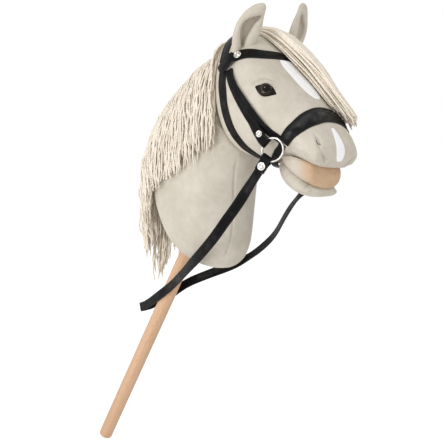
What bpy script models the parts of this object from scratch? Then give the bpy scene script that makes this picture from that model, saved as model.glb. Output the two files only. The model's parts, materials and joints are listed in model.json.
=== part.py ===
"""Hobby horse: a stuffed horse head and neck on a round stick, with mane, bridle and rein.

Frame: metres, +Z up, +X forward. The toy leans as it does between a rider's legs. The origin is the
centre of the stick's small flat lower end, and the plane Y = 0 is the horse's plane of symmetry.
Points of the stuffed parts are given in millimetres from the neck foot, where the stick enters the neck.
"""

import math

import bmesh
import bpy
from mathutils import Matrix, Vector
from mathutils.bvhtree import BVHTree

MM = 0.001
GAP = 0.3 * MM

# Stick
STICK_DIAMETER = 25.0 * MM
STICK_SHOWN = 440.0 * MM
STICK_INSIDE = 190.0 * MM
STICK_LEAN = math.radians(33.3)
STICK_END_ROUNDING = 3.5 * MM
STICK_SIDES = 24

# Pocket and tie that hold the stick inside the neck
POCKET_WALL = 1.6 * MM
POCKET_START = 6.0 * MM
TIE_HEIGHT = 4.5 * MM
TIE_THICKNESS = 2.4 * MM
TIE_FROM_FOOT = 16.0 * MM

# Stuffed forms
NECK_SIDES = 24
NECK_RINGS = 16
HEAD_SIDES = 24
HEAD_RINGS = 19
JAW_SIDES = 16
JAW_RINGS = 9
MOUTH_RINGS = 8
NECK_WIDEST = 70.0
HEAD_WIDEST = 73.0
MUZZLE_WIDEST = 57.0

# Each section of a stuffed form: rear or top point, front or bottom point, half width, in mm
NECK_SECTIONS = (
    ((-13, 10), (15, -7), 16),
    ((-30, 41), (60, -26), 45),
    ((-44, 67), (98, -27), 59),
    ((-56, 95), (122, -4), 67),
    ((-63, 124), (131, 40), NECK_WIDEST),
    ((-62, 157), (138, 88), NECK_WIDEST),
    ((-48, 197), (146, 130), 67),
    ((-24, 233), (152, 160), 62),
    ((10, 266), (158, 190), 57),
    ((52, 297), (164, 220), 51),
    ((96, 318), (168, 250), 44),
)
HEAD_SECTIONS = (
    ((112, 326), (104, 296), 22),
    ((134, 342), (104, 252), 48),
    ((162, 343), (112, 208), 62),
    ((192, 325), (128, 174), 70),
    ((220, 293), (152, 154), HEAD_WIDEST),
    ((247, 262), (182, 144), 71),
    ((271, 234), (213, 140), 65),
    ((291, 209), (240, 138), 59),
    ((307, 187), (262, 136), MUZZLE_WIDEST),
    ((318, 168), (284, 131), 56),
    ((323, 151), (302, 125), 49),
)
JAW_SECTIONS = (
    ((230, 146), (227, 120), 28),
    ((242, 141), (238, 104), 38),
    ((256, 133), (253, 92), 43),
    ((274, 114), (271, 85), 42),
    ((287, 98), (289, 86), 36),
)
MOUTH_SECTIONS = (
    ((244, 162), (244, 124), 42),
    ((263, 160), (261, 108), 47),
    ((281, 152), (280, 96), 43),
    ((295, 140), (294, 96), 35),
)

# Each stuffed form: its sections, rings, sides, squareness, and how far its poles stand out, in mm
HEAD_FORM = (HEAD_SECTIONS, HEAD_RINGS, HEAD_SIDES, 2.5, (6.0, 8.0))
NECK_FORM = (NECK_SECTIONS, NECK_RINGS, NECK_SIDES, 2.1, (5.0, 5.0))
JAW_FORM = (JAW_SECTIONS, JAW_RINGS, JAW_SIDES, 2.2, (5.0, 5.0))
MOUTH_FORM = (MOUTH_SECTIONS, MOUTH_RINGS, JAW_SIDES, 2.2, (5.0, 5.0))

# Ears: where each root sits on the head, how far it is sunk in, and how it leans
EAR_LENGTH = 86.0 * MM
EAR_HALF_WIDTH = 22.0 * MM
EAR_CUP = 11.0 * MM
EAR_WALL = 6.0 * MM
EAR_EDGE = 2.2 * MM
EAR_ROOT = {"right": (176.0, 308.0, 52.0), "left": (184.0, 313.0, 50.0)}
EAR_SINK = {"right": 14.0 * MM, "left": 5.0 * MM}
EAR_LEAN_FORWARD = {"right": math.radians(33.0), "left": math.radians(13.0)}
EAR_LEAN_OUT = {"right": math.radians(2.0), "left": math.radians(12.0)}
EAR_OPENS_OUT = {"right": math.radians(24.0), "left": math.radians(-6.0)}
EAR_LINING = 1.6 * MM

# Eyes
EYE_DIAMETER = 19.0 * MM
EYE_DOME = 6.5 * MM
EYE_SHANK_DIAMETER = 5.0 * MM
EYE_SHANK_LENGTH = 14.0 * MM
EYE_WASHER_DIAMETER = 15.0 * MM
EYE_WASHER_THICKNESS = 2.0 * MM
EYE_WASHER_DEPTH = 8.0 * MM
EYE_AT = (231.0, 239.8)
EYE_PATCH_LENGTH = 38.0 * MM
EYE_PATCH_HEIGHT = 22.0 * MM
PATCH_THICKNESS = 1.2 * MM

# Patches: the routes of the blaze and the snip down the middle of the face, and of the right nostril,
# and the width of each at its points and at its fullest
BLAZE_GUIDE = ((221, 296, 0), (240, 278, 0), (263, 253, 0), (286, 226, 0))
BLAZE_WIDTHS = (9.0 * MM, 34.0 * MM)
SNIP_GUIDE = ((319, 178, 0), (331, 160, 0), (335, 134, 0))
SNIP_WIDTHS = (5.0 * MM, 18.0 * MM)
NOSTRIL_GUIDE = ((304, 170, 50), (311, 158, 48), (319, 150, 38))
NOSTRIL_WIDTHS = (2.0 * MM, 6.0 * MM)
NOSTRIL_THICKNESS = 0.8 * MM
PATCH_SINK = 1.2 * MM

# Strap routes, laid on the head: the right half of each, then its point on the middle plane
CROWN_GUIDE = ((146, 290, 62), (146, 309, 56), (146, 326, 47), (147, 340, 26))
CROWN_MIDDLE = (147, 345, 0)
THROAT_GUIDE = (
    (149, 277, 64),
    (148, 257, 66.5),
    (151, 241, 68.5),
    (154.5, 222, 68.7),
    (159, 207, 68.4),
    (165.5, 188.5, 66),
    (174.7, 169.8, 59.7),
    (182.2, 158.7, 51),
    (190, 149.3, 38),
    (196, 143.5, 20),
)
THROAT_MIDDLE = (198, 141, 0)
NOSE_GUIDE = (
    (258.5, 159, 57),
    (273, 170.5, 57),
    (284, 179, 55),
    (291, 188, 46),
    (295, 193.5, 35),
    (296.6, 198.6, 19),
)
NOSE_MIDDLE = (297, 200.5, 0)
CHIN_GUIDE = ((257, 157.5, 57), (249, 150, 52), (237, 145, 44), (220, 141, 25))
CHIN_MIDDLE = (214, 138, 0)
CHIN_SLACK = 7.0 * MM
BROW_GUIDE = (
    (146.5, 274, 65),
    (152, 279, 65),
    (162, 287, 64),
    (173, 294.5, 61),
    (188, 297, 55),
    (206, 296, 42),
    (215, 295.5, 22),
)
BROW_MIDDLE = (218, 295, 0)
BROW_STUD_AT = (175, 295, 60)
CHEEK_GUIDE = ((164.5, 276, 67), (172.5, 256, 70), (193, 224, 72.5), (214.5, 192.6, 70))
HANGER_GUIDE = (
    (165, 276, 67),
    (178, 252, 71.3),
    (199, 226, 72.2),
    (219.5, 200.7, 69.6),
    (239.5, 177.8, 64),
    (257, 161.5, 58),
)

# Straps
STRAP_THICKNESS = 2.0 * MM
THROATLASH_WIDTH = 13.0 * MM
HANGER_WIDTH = 11.0 * MM
CHEEKPIECE_WIDTH = 13.0 * MM
BROWBAND_WIDTH = 18.0 * MM
NOSEBAND_WIDTH = 28.0 * MM
NOSEBAND_END_WIDTH = 18.0 * MM
CHIN_STRAP_WIDTH = 12.0 * MM
CROWN_WIDTH = 21.0 * MM
REIN_WIDTH = 16.0 * MM
STRAP_STEP = 11.0 * MM

# Studs
STUD_DIAMETER = 12.5 * MM
CHEEK_STUD_DIAMETER = 10.5 * MM
STUD_DOME = 2.0 * MM
STUD_POST_DIAMETER = 3.6 * MM

# Rings: each hangs from its cheekpiece, which passes round the middle of the wire at this place
RING_OUTER_DIAMETER = 36.0 * MM
RING_WIRE = 3.0 * MM
RING_HUNG_AT = (237.8, 162.0, 69.7)
RING_TURN = math.radians(16.0)
RING_STEPS = 24
RING_SIDES = 7
RING_CLEARANCE = 0.35 * MM

# Places on the ring, as angles in its own plane from its forward side
CHEEKPIECE_ON_RING = math.radians(135.0)
REIN_ON_RING = math.radians(235.0)

# Rein: its swing, how far forward its free strands turn their outer sides between two shares of their
# length, the length of its folded end, and the route of each strand from its ring to the fold behind the
# stick, in mm from the neck foot, with its distance from the middle plane last
REIN_TURN_FORWARD = math.radians(45.0)
REIN_TURNS = {"right": (0.02, 0.14, 0.42, 0.62), "left": (0.02, 0.12, 0.44, 0.6)}
REIN_LIFT = math.radians(4.0)
REIN_TAB = 21.0 * MM
REIN_STEP = 14.0 * MM
REIN_FOLD = 5.0 * MM
REIN_FOLD_AT = (-124.0, -107.8)
REIN_ROUTE = {
    "right": (
        (186.6, 70.0, 76.0),
        (167.5, 51.0, 77.0),
        (140.6, 25.3, 75.0),
        (96.9, -3.6, 65.0),
        (60.6, -22.5, 52.0),
        (16.0, -44.0, 34.0),
        (-25.6, -63.5, 18.5),
        (-59.5, -81.1, 15.4),
        (-92.0, -97.0, 10.0),
        (-112.0, -104.5, 6.0),
    ),
    "left": (
        (203.3, 88.7, 49.0),
        (186.6, 70.0, 47.0),
        (167.5, 51.0, 52.0),
        (140.6, 25.3, 61.0),
        (96.9, -3.6, 64.0),
        (60.6, -24.0, 53.0),
        (16.0, -42.0, 34.0),
        (-25.6, -60.0, 18.5),
        (-59.5, -79.5, 15.4),
        (-92.0, -96.0, 10.0),
        (-112.0, -104.5, 6.0),
    ),
}

# Mane: the edges between its locks along the crest, each with the height of its top, the thickness there and
# how far it swings back lower down, and the lengths of each side's locks
MANE_THICKNESS = (10.0, 13.0, 17.0, 20.0, 22.0, 24.0, 27.0, 30.0)
MANE_SWING = (0.0, 0.0, 0.0, 0.0, 0.0, 0.0, 5.0, 13.0)
MANE_EDGES = (
    (122.0, 336.0),
    (96.0, 328.0),
    (66.0, 317.0),
    (34.0, 301.0),
    (3.0, 281.0),
    (-27.0, 253.0),
    (-54.0, 212.0),
    (-86.0, 158.0),
)
MANE_LENGTHS = {
    "right": (172.0, 182.0, 182.0, 174.0, 162.0, 172.0, 168.0),
    "left": (150.0, 165.0, 168.0, 162.0, 176.0, 195.0, 210.0),
}
MANE_SPLIT = 0.8 * MM
MANE_ROWS = (0.0, 0.04, 0.12, 0.3, 0.55, 0.8, 1.0)
MANE_FULLNESS = (0.45, 0.85, 1.0, 1.0, 1.0, 0.85, 0.6)
MANE_CLEARANCE = 0.6 * MM
MANE_REACH = 300.0 * MM
MANE_CROWN = 1.0 * MM
MANE_TIP = 6.0 * MM
FORELOCK_THICKNESS = 26.0 * MM
FORELOCK_WIDTH = 26.0 * MM
FORELOCK_STEP = 18.0 * MM
FORELOCK_SINK = 1.5 * MM
FORELOCK_FULLNESS = (0.3, 0.62, 0.92, 1.0, 1.0, 0.86, 0.64, 0.5, 0.36)
FORELOCK_GUIDES = (
    ((162, 350, -8), (188, 345, -1), (222, 300, 10), (250, 270, 23), (276, 240, 34), (296, 208, 42)),
    ((163, 350, 10), (187, 345, 19), (218, 303, 31), (246, 273, 43), (271, 240, 50), (285, 217, 53)),
)


def stick_point(along, across=0.0, side=0.0):
    """The point at a distance along the stick from its lower end, and a distance in front of its axis."""
    axis = Vector((math.sin(STICK_LEAN), 0.0, math.cos(STICK_LEAN)))
    front = Vector((math.cos(STICK_LEAN), 0.0, -math.sin(STICK_LEAN)))
    return axis * along + front * across + Vector((0.0, side, 0.0))


NECK_FOOT = stick_point(STICK_SHOWN)


def at(x, z, y=0.0):
    """A point given in millimetres from the neck foot."""
    return NECK_FOOT + Vector((x, y, z)) * MM


def guide_on(side, guide):
    """A route given for the right half, on the side asked for."""
    return [at(x, z, side * y) for x, z, y in guide]


def guide_over(half, middle):
    """A route from its right end over the middle plane to its left end."""
    return guide_on(-1.0, half) + guide_on(1.0, (middle,) + half[::-1])


def clear_scene():
    for obj in list(bpy.data.objects):
        bpy.data.objects.remove(obj, do_unlink=True)


def finish(name, colour, roughness, metallic=0.0):
    """A Principled material."""
    material = bpy.data.materials.new(name)
    material.use_nodes = True
    shader = material.node_tree.nodes["Principled BSDF"]
    shader.inputs["Base Color"].default_value = (*colour, 1.0)
    shader.inputs["Roughness"].default_value = roughness
    shader.inputs["Metallic"].default_value = metallic
    return material


def make_object(name, mesh_builder, material, smooth_angle=40.0, origin=None):
    """A named object from a bmesh, with outward normals and its origin where asked."""
    bmesh.ops.remove_doubles(mesh_builder, verts=mesh_builder.verts, dist=0.00001)
    bmesh.ops.triangulate(mesh_builder, faces=mesh_builder.faces)
    bmesh.ops.recalc_face_normals(mesh_builder, faces=mesh_builder.faces)
    if origin is not None:
        bmesh.ops.translate(mesh_builder, verts=mesh_builder.verts, vec=-origin)
    mesh = bpy.data.meshes.new(name)
    mesh_builder.to_mesh(mesh)
    mesh_builder.free()
    mesh.shade_smooth()
    mesh.set_sharp_from_angle(angle=math.radians(smooth_angle))
    if material is not None:
        mesh.materials.append(material)
    obj = bpy.data.objects.new(name, mesh)
    bpy.context.collection.objects.link(obj)
    if origin is not None:
        obj.location = origin
    return obj


def as_cutter(obj):
    obj.hide_render = True
    obj.display_type = "WIRE"
    return obj


def cut(obj, *cutters):
    """Takes the cutters away from the object, and leaves out the chips that this splits off."""
    for cutter in cutters:
        modifier = obj.modifiers.new("cut", "BOOLEAN")
        modifier.operation = "DIFFERENCE"
        modifier.object = cutter
        apply_modifiers(obj)
    drop_chips(obj)


def drop_chips(obj):
    """Keeps the connected piece of the mesh with the most room in its box, with its faces outward."""
    skin = bmesh.new()
    skin.from_mesh(obj.data)
    waiting, pieces = set(skin.verts), []
    while waiting:
        edge_of_piece = [waiting.pop()]
        piece = set(edge_of_piece)
        while edge_of_piece:
            for edge in edge_of_piece.pop().link_edges:
                for vertex in edge.verts:
                    if vertex in waiting:
                        waiting.discard(vertex)
                        piece.add(vertex)
                        edge_of_piece.append(vertex)
        pieces.append(piece)
    if len(pieces) > 1:
        kept = max(pieces, key=diagonal)
        chips = [vertex for piece in pieces if piece is not kept for vertex in piece]
        bmesh.ops.delete(skin, geom=chips, context="VERTS")
    bmesh.ops.recalc_face_normals(skin, faces=skin.faces)
    skin.to_mesh(obj.data)
    skin.free()


def diagonal(vertices):
    spans = [[vertex.co[axis] for vertex in vertices] for axis in range(3)]
    return math.hypot(*(max(span) - min(span) for span in spans))


def apply_modifiers(obj):
    bpy.context.view_layer.update()
    graph = bpy.context.evaluated_depsgraph_get()
    mesh = bpy.data.meshes.new_from_object(obj.evaluated_get(graph), depsgraph=graph)
    obj.modifiers.clear()
    old = obj.data
    mesh.name = old.name + "_cut"
    obj.data = mesh
    bpy.data.meshes.remove(old)


def surface_of(*objects):
    """A search tree over the surfaces of objects, in world space."""
    points, faces = [], []
    for obj in objects:
        first = len(points)
        points += [obj.matrix_world @ vertex.co for vertex in obj.data.vertices]
        faces += [[first + index for index in face.vertices] for face in obj.data.polygons]
    return BVHTree.FromPolygons(points, faces)


def spline(values, count):
    """Points evenly spread over a smooth curve through the values, as vectors of any length."""
    values = [Vector(value) for value in values]
    last = len(values) - 1
    result = []
    for step in range(count):
        place = step / (count - 1) * last
        index = min(int(place), last - 1)
        part = place - index
        before = values[index - 1] if index else values[0] * 2 - values[1]
        start, end = values[index], values[index + 1]
        after = values[index + 2] if index + 2 <= last else values[last] * 2 - values[last - 1]
        result.append(
            0.5
            * (
                start * 2
                + (end - before) * part
                + (before * 2 - start * 5 + end * 4 - after) * part**2
                + (start * 3 - before - end * 3 + after) * part**3
            )
        )
    return result


def even_path(points, step):
    """The same route with its points an even step apart."""
    lengths = [0.0]
    for start, end in zip(points, points[1:]):
        lengths.append(lengths[-1] + (end - start).length)
    count = max(2, round(lengths[-1] / step) + 1)
    result, index = [], 0
    for number in range(count):
        wanted = lengths[-1] * number / (count - 1)
        while index < len(points) - 2 and lengths[index + 1] < wanted:
            index += 1
        span = lengths[index + 1] - lengths[index]
        share = (wanted - lengths[index]) / span if span else 0.0
        result.append(points[index].lerp(points[index + 1], share))
    return result


def closed_rings(rings, first_pole, last_pole):
    """A bmesh skin over rings of points, closed at a pole beyond each end."""
    skin = bmesh.new()
    made = [[skin.verts.new(point) for point in ring] for ring in rings]
    for ring, following in zip(made, made[1:]):
        count = len(ring)
        for index in range(count):
            after = (index + 1) % count
            skin.faces.new((ring[index], ring[after], following[after], following[index]))
    for ring, pole in ((made[0], first_pole), (made[-1], last_pole)):
        tip = skin.verts.new(pole)
        for index in range(len(ring)):
            skin.faces.new((tip, ring[index], ring[(index + 1) % len(ring)]))
    return skin


def stuffed_skin(sections, ring_count, sides, squareness, poles):
    """Rings that swell and taper through the sections, rounded off to a pole beyond each end."""
    values = [(*rear, *front, half) for rear, front, half in sections]
    rings = []
    for value in (row[:] for row in spline(values, ring_count)):
        rear, front, half = at(value[0], value[1]), at(value[2], value[3]), value[4] * MM
        centre = (rear + front) / 2
        arm = (rear - front) / 2
        ring = []
        for step in range(sides):
            turn = 2 * math.pi * (step + 0.5) / sides
            up, out = math.cos(turn), math.sin(turn)
            up = math.copysign(abs(up) ** (2 / squareness), up)
            out = math.copysign(abs(out) ** (2 / squareness), out)
            ring.append(centre + arm * up + Vector((0.0, half * out, 0.0)))
        rings.append(ring)
    centres = [sum(ring, Vector()) / sides for ring in rings]
    first = centres[0] + (centres[0] - centres[1]).normalized() * poles[0] * MM
    last = centres[-1] + (centres[-1] - centres[-2]).normalized() * poles[1] * MM
    return closed_rings(rings, first, last)


def turned(name, profile, sides, material, place, axis, origin=None):
    """A solid turned round an axis. The profile runs as (radius, height) from the bottom to the top."""
    frame = axis.to_track_quat("Z", "Y").to_matrix().to_4x4()
    rings = [
        [
            place
            + frame
            @ Vector(
                (
                    radius * math.cos(2 * math.pi * step / sides),
                    radius * math.sin(2 * math.pi * step / sides),
                    height,
                )
            )
            for step in range(sides)
        ]
        for radius, height in profile
    ]
    first = place + frame @ Vector((0, 0, profile[0][1]))
    last = place + frame @ Vector((0, 0, profile[-1][1]))
    return make_object(name, closed_rings(rings, first, last), material, origin=origin)


def ribbon_skin(centres, normals, widths, below, above):
    """A flat band along its centres: its wide faces lie below and above them along the normals."""
    skin = bmesh.new()
    rows = []
    for index, centre in enumerate(centres):
        before = centres[max(index - 1, 0)]
        after = centres[min(index + 1, len(centres) - 1)]
        along = (after - before).normalized()
        normal = (normals[index] - along * normals[index].dot(along)).normalized()
        across = along.cross(normal) * widths[index] / 2
        corners = (
            centre - across + normal * below[index],
            centre + across + normal * below[index],
            centre + across + normal * above[index],
            centre - across + normal * above[index],
        )
        rows.append([skin.verts.new(corner) for corner in corners])
    for row, following in zip(rows, rows[1:]):
        for index in range(4):
            after = (index + 1) % 4
            skin.faces.new((row[index], row[after], following[after], following[index]))
    skin.faces.new(rows[0])
    skin.faces.new(rows[-1])
    return skin


def laid_route(guide, surface, step):
    """A guide route laid on a surface: even points on it, and its outward normals."""
    dense = spline(guide, 12 * len(guide))
    on_surface = [surface.find_nearest(point)[0] for point in dense]
    points = even_path(on_surface, step)
    normals = []
    for point in points:
        found = []
        for share in (0.0, 0.35, 0.65, 1.0):
            near = min(dense, key=lambda other: (other - point).length)
            found.append(surface.find_nearest(point.lerp(near, share))[1])
        normals.append(sum(found, Vector()).normalized())
    smooth = []
    for index in range(len(normals)):
        near = normals[max(index - 1, 0) : index + 2]
        smooth.append(sum(near, Vector()).normalized())
    points = [surface.find_nearest(point)[0] for point in points]
    return points, smooth


FELT_WHITE = finish("white_velour", (0.85, 0.83, 0.8), 0.9)
VELOUR = finish("velour", (0.66, 0.61, 0.52), 0.95)
EAR_VELOUR = finish("ear_velour", (0.68, 0.6, 0.53), 0.95)
MOUTH_VELOUR = finish("mouth_velour", (0.56, 0.34, 0.23), 0.9)
YARN = finish("yarn", (0.74, 0.69, 0.6), 0.95)
LEATHER = finish("black_leather", (0.015, 0.014, 0.014), 0.45)
CHROME = finish("chrome", (0.8, 0.8, 0.8), 0.15, 1.0)
WOOD = finish("wood", (0.75, 0.45, 0.24), 0.5)
EYE_PLASTIC = finish("eye_plastic", (0.02, 0.015, 0.01), 0.1)
DARK_THREAD = finish("dark_thread", (0.03, 0.02, 0.02), 0.8)
WHITE_PLASTIC = finish("white_plastic", (0.8, 0.8, 0.8), 0.4)
COTTON = finish("cotton", (0.7, 0.68, 0.62), 0.9)

SIDES = (("right", -1.0), ("left", 1.0))


def build_stick():
    radius = STICK_DIAMETER / 2
    length = STICK_SHOWN + STICK_INSIDE
    profile = [(radius - STICK_END_ROUNDING, 0.0)]
    for step in range(1, 4):
        turn = math.radians(30 * step)
        out = radius - STICK_END_ROUNDING * (1 - math.sin(turn))
        profile.append((out, STICK_END_ROUNDING * (1 - math.cos(turn))))
    profile += [(radius, length - STICK_END_ROUNDING), (radius - STICK_END_ROUNDING, length)]
    axis = stick_point(1.0).normalized()
    return turned("stick", profile, STICK_SIDES, WOOD, Vector(), axis)


def sleeve(name, inner, outer, start, end, material, closed_top=0.0):
    """A tube round the stick, or a cup over it where closed_top gives its roof."""
    axis = stick_point(1.0).normalized()
    place = stick_point(STICK_SHOWN + start)
    length = end - start
    body = turned(name, [(outer, 0.0), (outer, length)], STICK_SIDES, material, place, axis)
    low = -1 * MM
    high = length - closed_top if closed_top else length + 1 * MM
    bore = turned(name + "_bore", [(inner, low), (inner, high)], STICK_SIDES, None, place, axis)
    cut(body, as_cutter(bore))
    return body


def build_stick_holders():
    """The sewn pocket over the stick's upper end, and the tie round the neck's hem."""
    inner = STICK_DIAMETER / 2 + GAP
    outer = inner + POCKET_WALL
    top = STICK_INSIDE + GAP + POCKET_WALL
    pocket = sleeve("stick_pocket", inner, outer, POCKET_START, top, COTTON, POCKET_WALL)
    tie_end = TIE_FROM_FOOT + TIE_HEIGHT
    tie_outer = outer + GAP + TIE_THICKNESS
    tie = sleeve("hem_tie", outer + GAP, tie_outer, TIE_FROM_FOOT, tie_end, WHITE_PLASTIC)
    return pocket, tie


def build_head():
    return make_object("head", stuffed_skin(*HEAD_FORM), VELOUR, 60)


def grown_form(name, form, grow=GAP):
    """A stuffed form's space: the form with every point moved out along its normal."""
    skin = stuffed_skin(*form)
    bmesh.ops.recalc_face_normals(skin, faces=skin.faces)
    skin.normal_update()
    for vertex in skin.verts:
        vertex.co += vertex.normal * grow * max(vertex.calc_shell_factor(), 1.0) * 1.05
    return as_cutter(make_object(name, skin, None))


def build_neck(head_space):
    neck = make_object("neck", stuffed_skin(*NECK_FORM), VELOUR, 60)
    cut(neck, head_space)
    axis = stick_point(1.0).normalized()
    pocket_outer = STICK_DIAMETER / 2 + GAP + POCKET_WALL + GAP
    bore_top = STICK_INSIDE + 2 * GAP + POCKET_WALL
    below = NECK_WIDEST * MM
    start = stick_point(STICK_SHOWN - below)
    bore_profile = [(pocket_outer, 0.0), (pocket_outer, below + bore_top)]
    bore = turned("neck_bore", bore_profile, STICK_SIDES, None, start, axis)
    cut(neck, as_cutter(bore))
    groove_outer = pocket_outer + TIE_THICKNESS + GAP
    groove_start = stick_point(STICK_SHOWN + TIE_FROM_FOOT - GAP)
    groove_profile = [(groove_outer, 0.0), (groove_outer, TIE_HEIGHT + 2 * GAP)]
    groove = turned("tie_groove", groove_profile, STICK_SIDES, None, groove_start, axis)
    cut(neck, as_cutter(groove))
    return neck


def build_mouth(head_space, chin_space):
    """The lower jaw and the pad between the lips, each cut by the larger ones."""
    jaw = make_object("lower_jaw", stuffed_skin(*JAW_FORM), VELOUR, 60)
    cut(jaw, head_space, chin_space)
    pad = make_object("mouth_lining", stuffed_skin(*MOUTH_FORM), MOUTH_VELOUR, 60)
    cut(pad, head_space, grown_form("jaw_space", JAW_FORM), chin_space)


def ear_frame(word, side):
    """The ear's root, and its length, opening and width directions."""
    x, z, y = EAR_ROOT[word]
    root = at(x, z, side * y)
    forward, out = EAR_LEAN_FORWARD[word], EAR_LEAN_OUT[word]
    length = Vector((math.sin(forward), side * math.sin(out), math.cos(forward))).normalized()
    turn = EAR_OPENS_OUT[word]
    opens = Vector((math.cos(turn), side * math.sin(turn), 0.0))
    opens = (opens - length * opens.dot(length)).normalized()
    return root, length, opens, length.cross(opens)


def ear_width(share):
    """The half width at a share of the ear's length: narrow root, full belly, pointed tip."""
    return EAR_HALF_WIDTH * (0.62 + 0.38 * math.sin(math.pi * min(share / 0.76, 1.0))) * (
        1.0 if share < 0.45 else math.sqrt(max(1 - ((share - 0.45) / 0.57) ** 2.2, 0.0))
    )


def cupped_leaf(word, side, start, end, width_share, inner_lift, wall, edge, rings=8, across=7):
    """A leaf with a hollow front, from one share of the ear's length to another."""
    root, length, opens, width = ear_frame(word, side)
    rows = []
    for ring in range(rings):
        share = start + (end - start) * ring / (rings - 1)
        half = ear_width(share) * width_share
        cup = EAR_CUP * (1 - 0.55 * share)
        middle = root + length * (EAR_LENGTH * share - EAR_SINK[word])
        front, back = [], []
        for step in range(across):
            place = -1 + 2 * step / (across - 1)
            full = place * width_share
            depth = cup * (1 - full**2) - inner_lift
            thick = edge + (wall - edge) * (1 - place**2)
            thick *= 1.0 if share < 0.8 else 1 - 0.5 * (share - 0.8) / 0.2
            flat = middle + width * half * place
            front.append(flat - opens * depth)
            back.append(flat - opens * (depth + thick))
        rows.append(front + back[::-1])
    skin = bmesh.new()
    made = [[skin.verts.new(point) for point in row] for row in rows]
    for row, following in zip(made, made[1:]):
        for index in range(len(row)):
            after = (index + 1) % len(row)
            skin.faces.new((row[index], row[after], following[after], following[index]))
    skin.faces.new(made[0])
    skin.faces.new(made[-1])
    return skin


def build_ears(*cutters):
    for word, side in SIDES:
        ear_skin = cupped_leaf(word, side, 0.0, 0.985, 1.0, 0.0, EAR_WALL, EAR_EDGE)
        ear = make_object(f"ear_{word}", ear_skin, VELOUR)
        cut(ear, *cutters)
        lift = 3 * GAP + EAR_LINING
        lining_skin = cupped_leaf(word, side, 0.06, 0.9, 0.86, lift, EAR_LINING, EAR_LINING, 7)
        lining = make_object(f"ear_lining_{word}", lining_skin, EAR_VELOUR)
        cut(lining, *cutters)


def side_hit(surface, x, z, side):
    """The point and normal where a line across the toy meets a side of the surface."""
    start = at(x, z) + Vector((0.0, side * 0.3, 0.0))
    point, normal, _, _ = surface.ray_cast(start, Vector((0.0, -side, 0.0)))
    return point, normal


def flat_patch(name, points, normals, widths, material, cutters, thickness=PATCH_THICKNESS):
    """A thin piece of cloth sewn on the head along a short route."""
    low, high = [-PATCH_SINK] * len(points), [GAP + thickness] * len(points)
    patch = make_object(name, ribbon_skin(points, normals, widths, low, high), material)
    cut(patch, *cutters)
    return patch


def leaf_widths(limits, count, start, end):
    """Widths from a patch's points to its fullest, over the part of a swell between two shares."""
    narrow, full = limits
    swell = [math.sin(math.pi * (start + (end - start) * share)) for share in shares(count)]
    return [narrow + (full - narrow) * part for part in swell]


def build_eyes(head, surface, head_space):
    for word, side in SIDES:
        point, normal = side_hit(surface, *EYE_AT, side)
        axis = (normal * 0.8 + Vector((0.25, side * 0.55, 0.0))).normalized()
        forward = Vector((1.0, 0.0, -0.32))
        forward = (forward - axis * forward.dot(axis)).normalized()
        patch_points, patch_normals, patch_widths = [], [], []
        for step in range(9):
            place = -1 + step / 4
            found = surface.find_nearest(point + forward * EYE_PATCH_LENGTH / 2 * place)
            patch_points.append(found[0])
            patch_normals.append(axis)
            patch_widths.append(max(EYE_PATCH_HEIGHT * (1 - abs(place) ** 1.8), 2.0 * MM))
        seat = PATCH_THICKNESS + 2 * GAP
        place = point + axis * seat
        hole_radius = EYE_SHANK_DIAMETER / 2 + GAP
        hole_profile = [(hole_radius, -EYE_SHANK_LENGTH - GAP), (hole_radius, EYE_WASHER_DEPTH)]
        hole = as_cutter(turned(f"shank_hole_{word}", hole_profile, 12, None, place, axis))
        low = -EYE_WASHER_DEPTH - GAP
        high = -EYE_WASHER_DEPTH + EYE_WASHER_THICKNESS + GAP
        washer_radius = EYE_WASHER_DIAMETER / 2 + GAP
        recess_profile = [(washer_radius, low), (washer_radius, high)]
        recess = turned(f"washer_space_{word}", recess_profile, 16, None, place, axis)
        cut(head, hole, as_cutter(recess))
        flat_patch(
            f"eye_patch_{word}", patch_points, patch_normals, patch_widths, DARK_THREAD, (head_space, hole)
        )
        radius = EYE_DIAMETER / 2
        profile = [(EYE_SHANK_DIAMETER / 2, -EYE_SHANK_LENGTH), (EYE_SHANK_DIAMETER / 2, 0.0), (radius, 0.0)]
        for turn_step in (1, 2, 3, 4):
            turn = math.radians(20 * turn_step)
            profile.append((radius * math.cos(turn), 0.8 * MM + EYE_DOME * math.sin(turn)))
        turned(f"eye_{word}", profile, 16, EYE_PLASTIC, place, axis)
        washer_profile = [(EYE_WASHER_DIAMETER / 2, low + GAP), (EYE_WASHER_DIAMETER / 2, high - GAP)]
        washer = turned(f"eye_washer_{word}", washer_profile, 16, WHITE_PLASTIC, place, axis)
        cut(washer, hole)


def build_face_patches(surface, head_space, brow_space):
    """The blaze, the snip and the nostrils, each laid on the head."""
    points, normals = laid_route(guide_on(1.0, BLAZE_GUIDE), surface, 8 * MM)
    widths = leaf_widths(BLAZE_WIDTHS, len(points), 0.18, 0.72)
    flat_patch("blaze", points, normals, widths, FELT_WHITE, (head_space, brow_space))
    blaze_space = grown_strap("blaze_space", points, normals, widths, PATCH_THICKNESS)
    points, normals = laid_route(guide_on(1.0, SNIP_GUIDE), surface, 5 * MM)
    widths = leaf_widths(SNIP_WIDTHS, len(points), 0.08, 0.92)
    flat_patch("snip", points, normals, widths, FELT_WHITE, (head_space,))
    for word, side in SIDES:
        points, normals = laid_route(guide_on(side, NOSTRIL_GUIDE), surface, 4 * MM)
        widths = leaf_widths(NOSTRIL_WIDTHS, len(points), 0.0, 1.0)
        name = f"nostril_{word}"
        flat_patch(name, points, normals, widths, DARK_THREAD, (head_space,), NOSTRIL_THICKNESS)
    return blaze_space


def strap_blank(name, points, normals, widths, thicknesses, sink=2.0 * MM):
    """A strap's solid before the head and its neighbours are cut from it."""
    low = [-sink] * len(points)
    high = [GAP + thickness for thickness in thicknesses]
    return make_object(name, ribbon_skin(points, normals, widths, low, high), LEATHER)


def shares(count):
    return [index / (count - 1) for index in range(count)]


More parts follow.
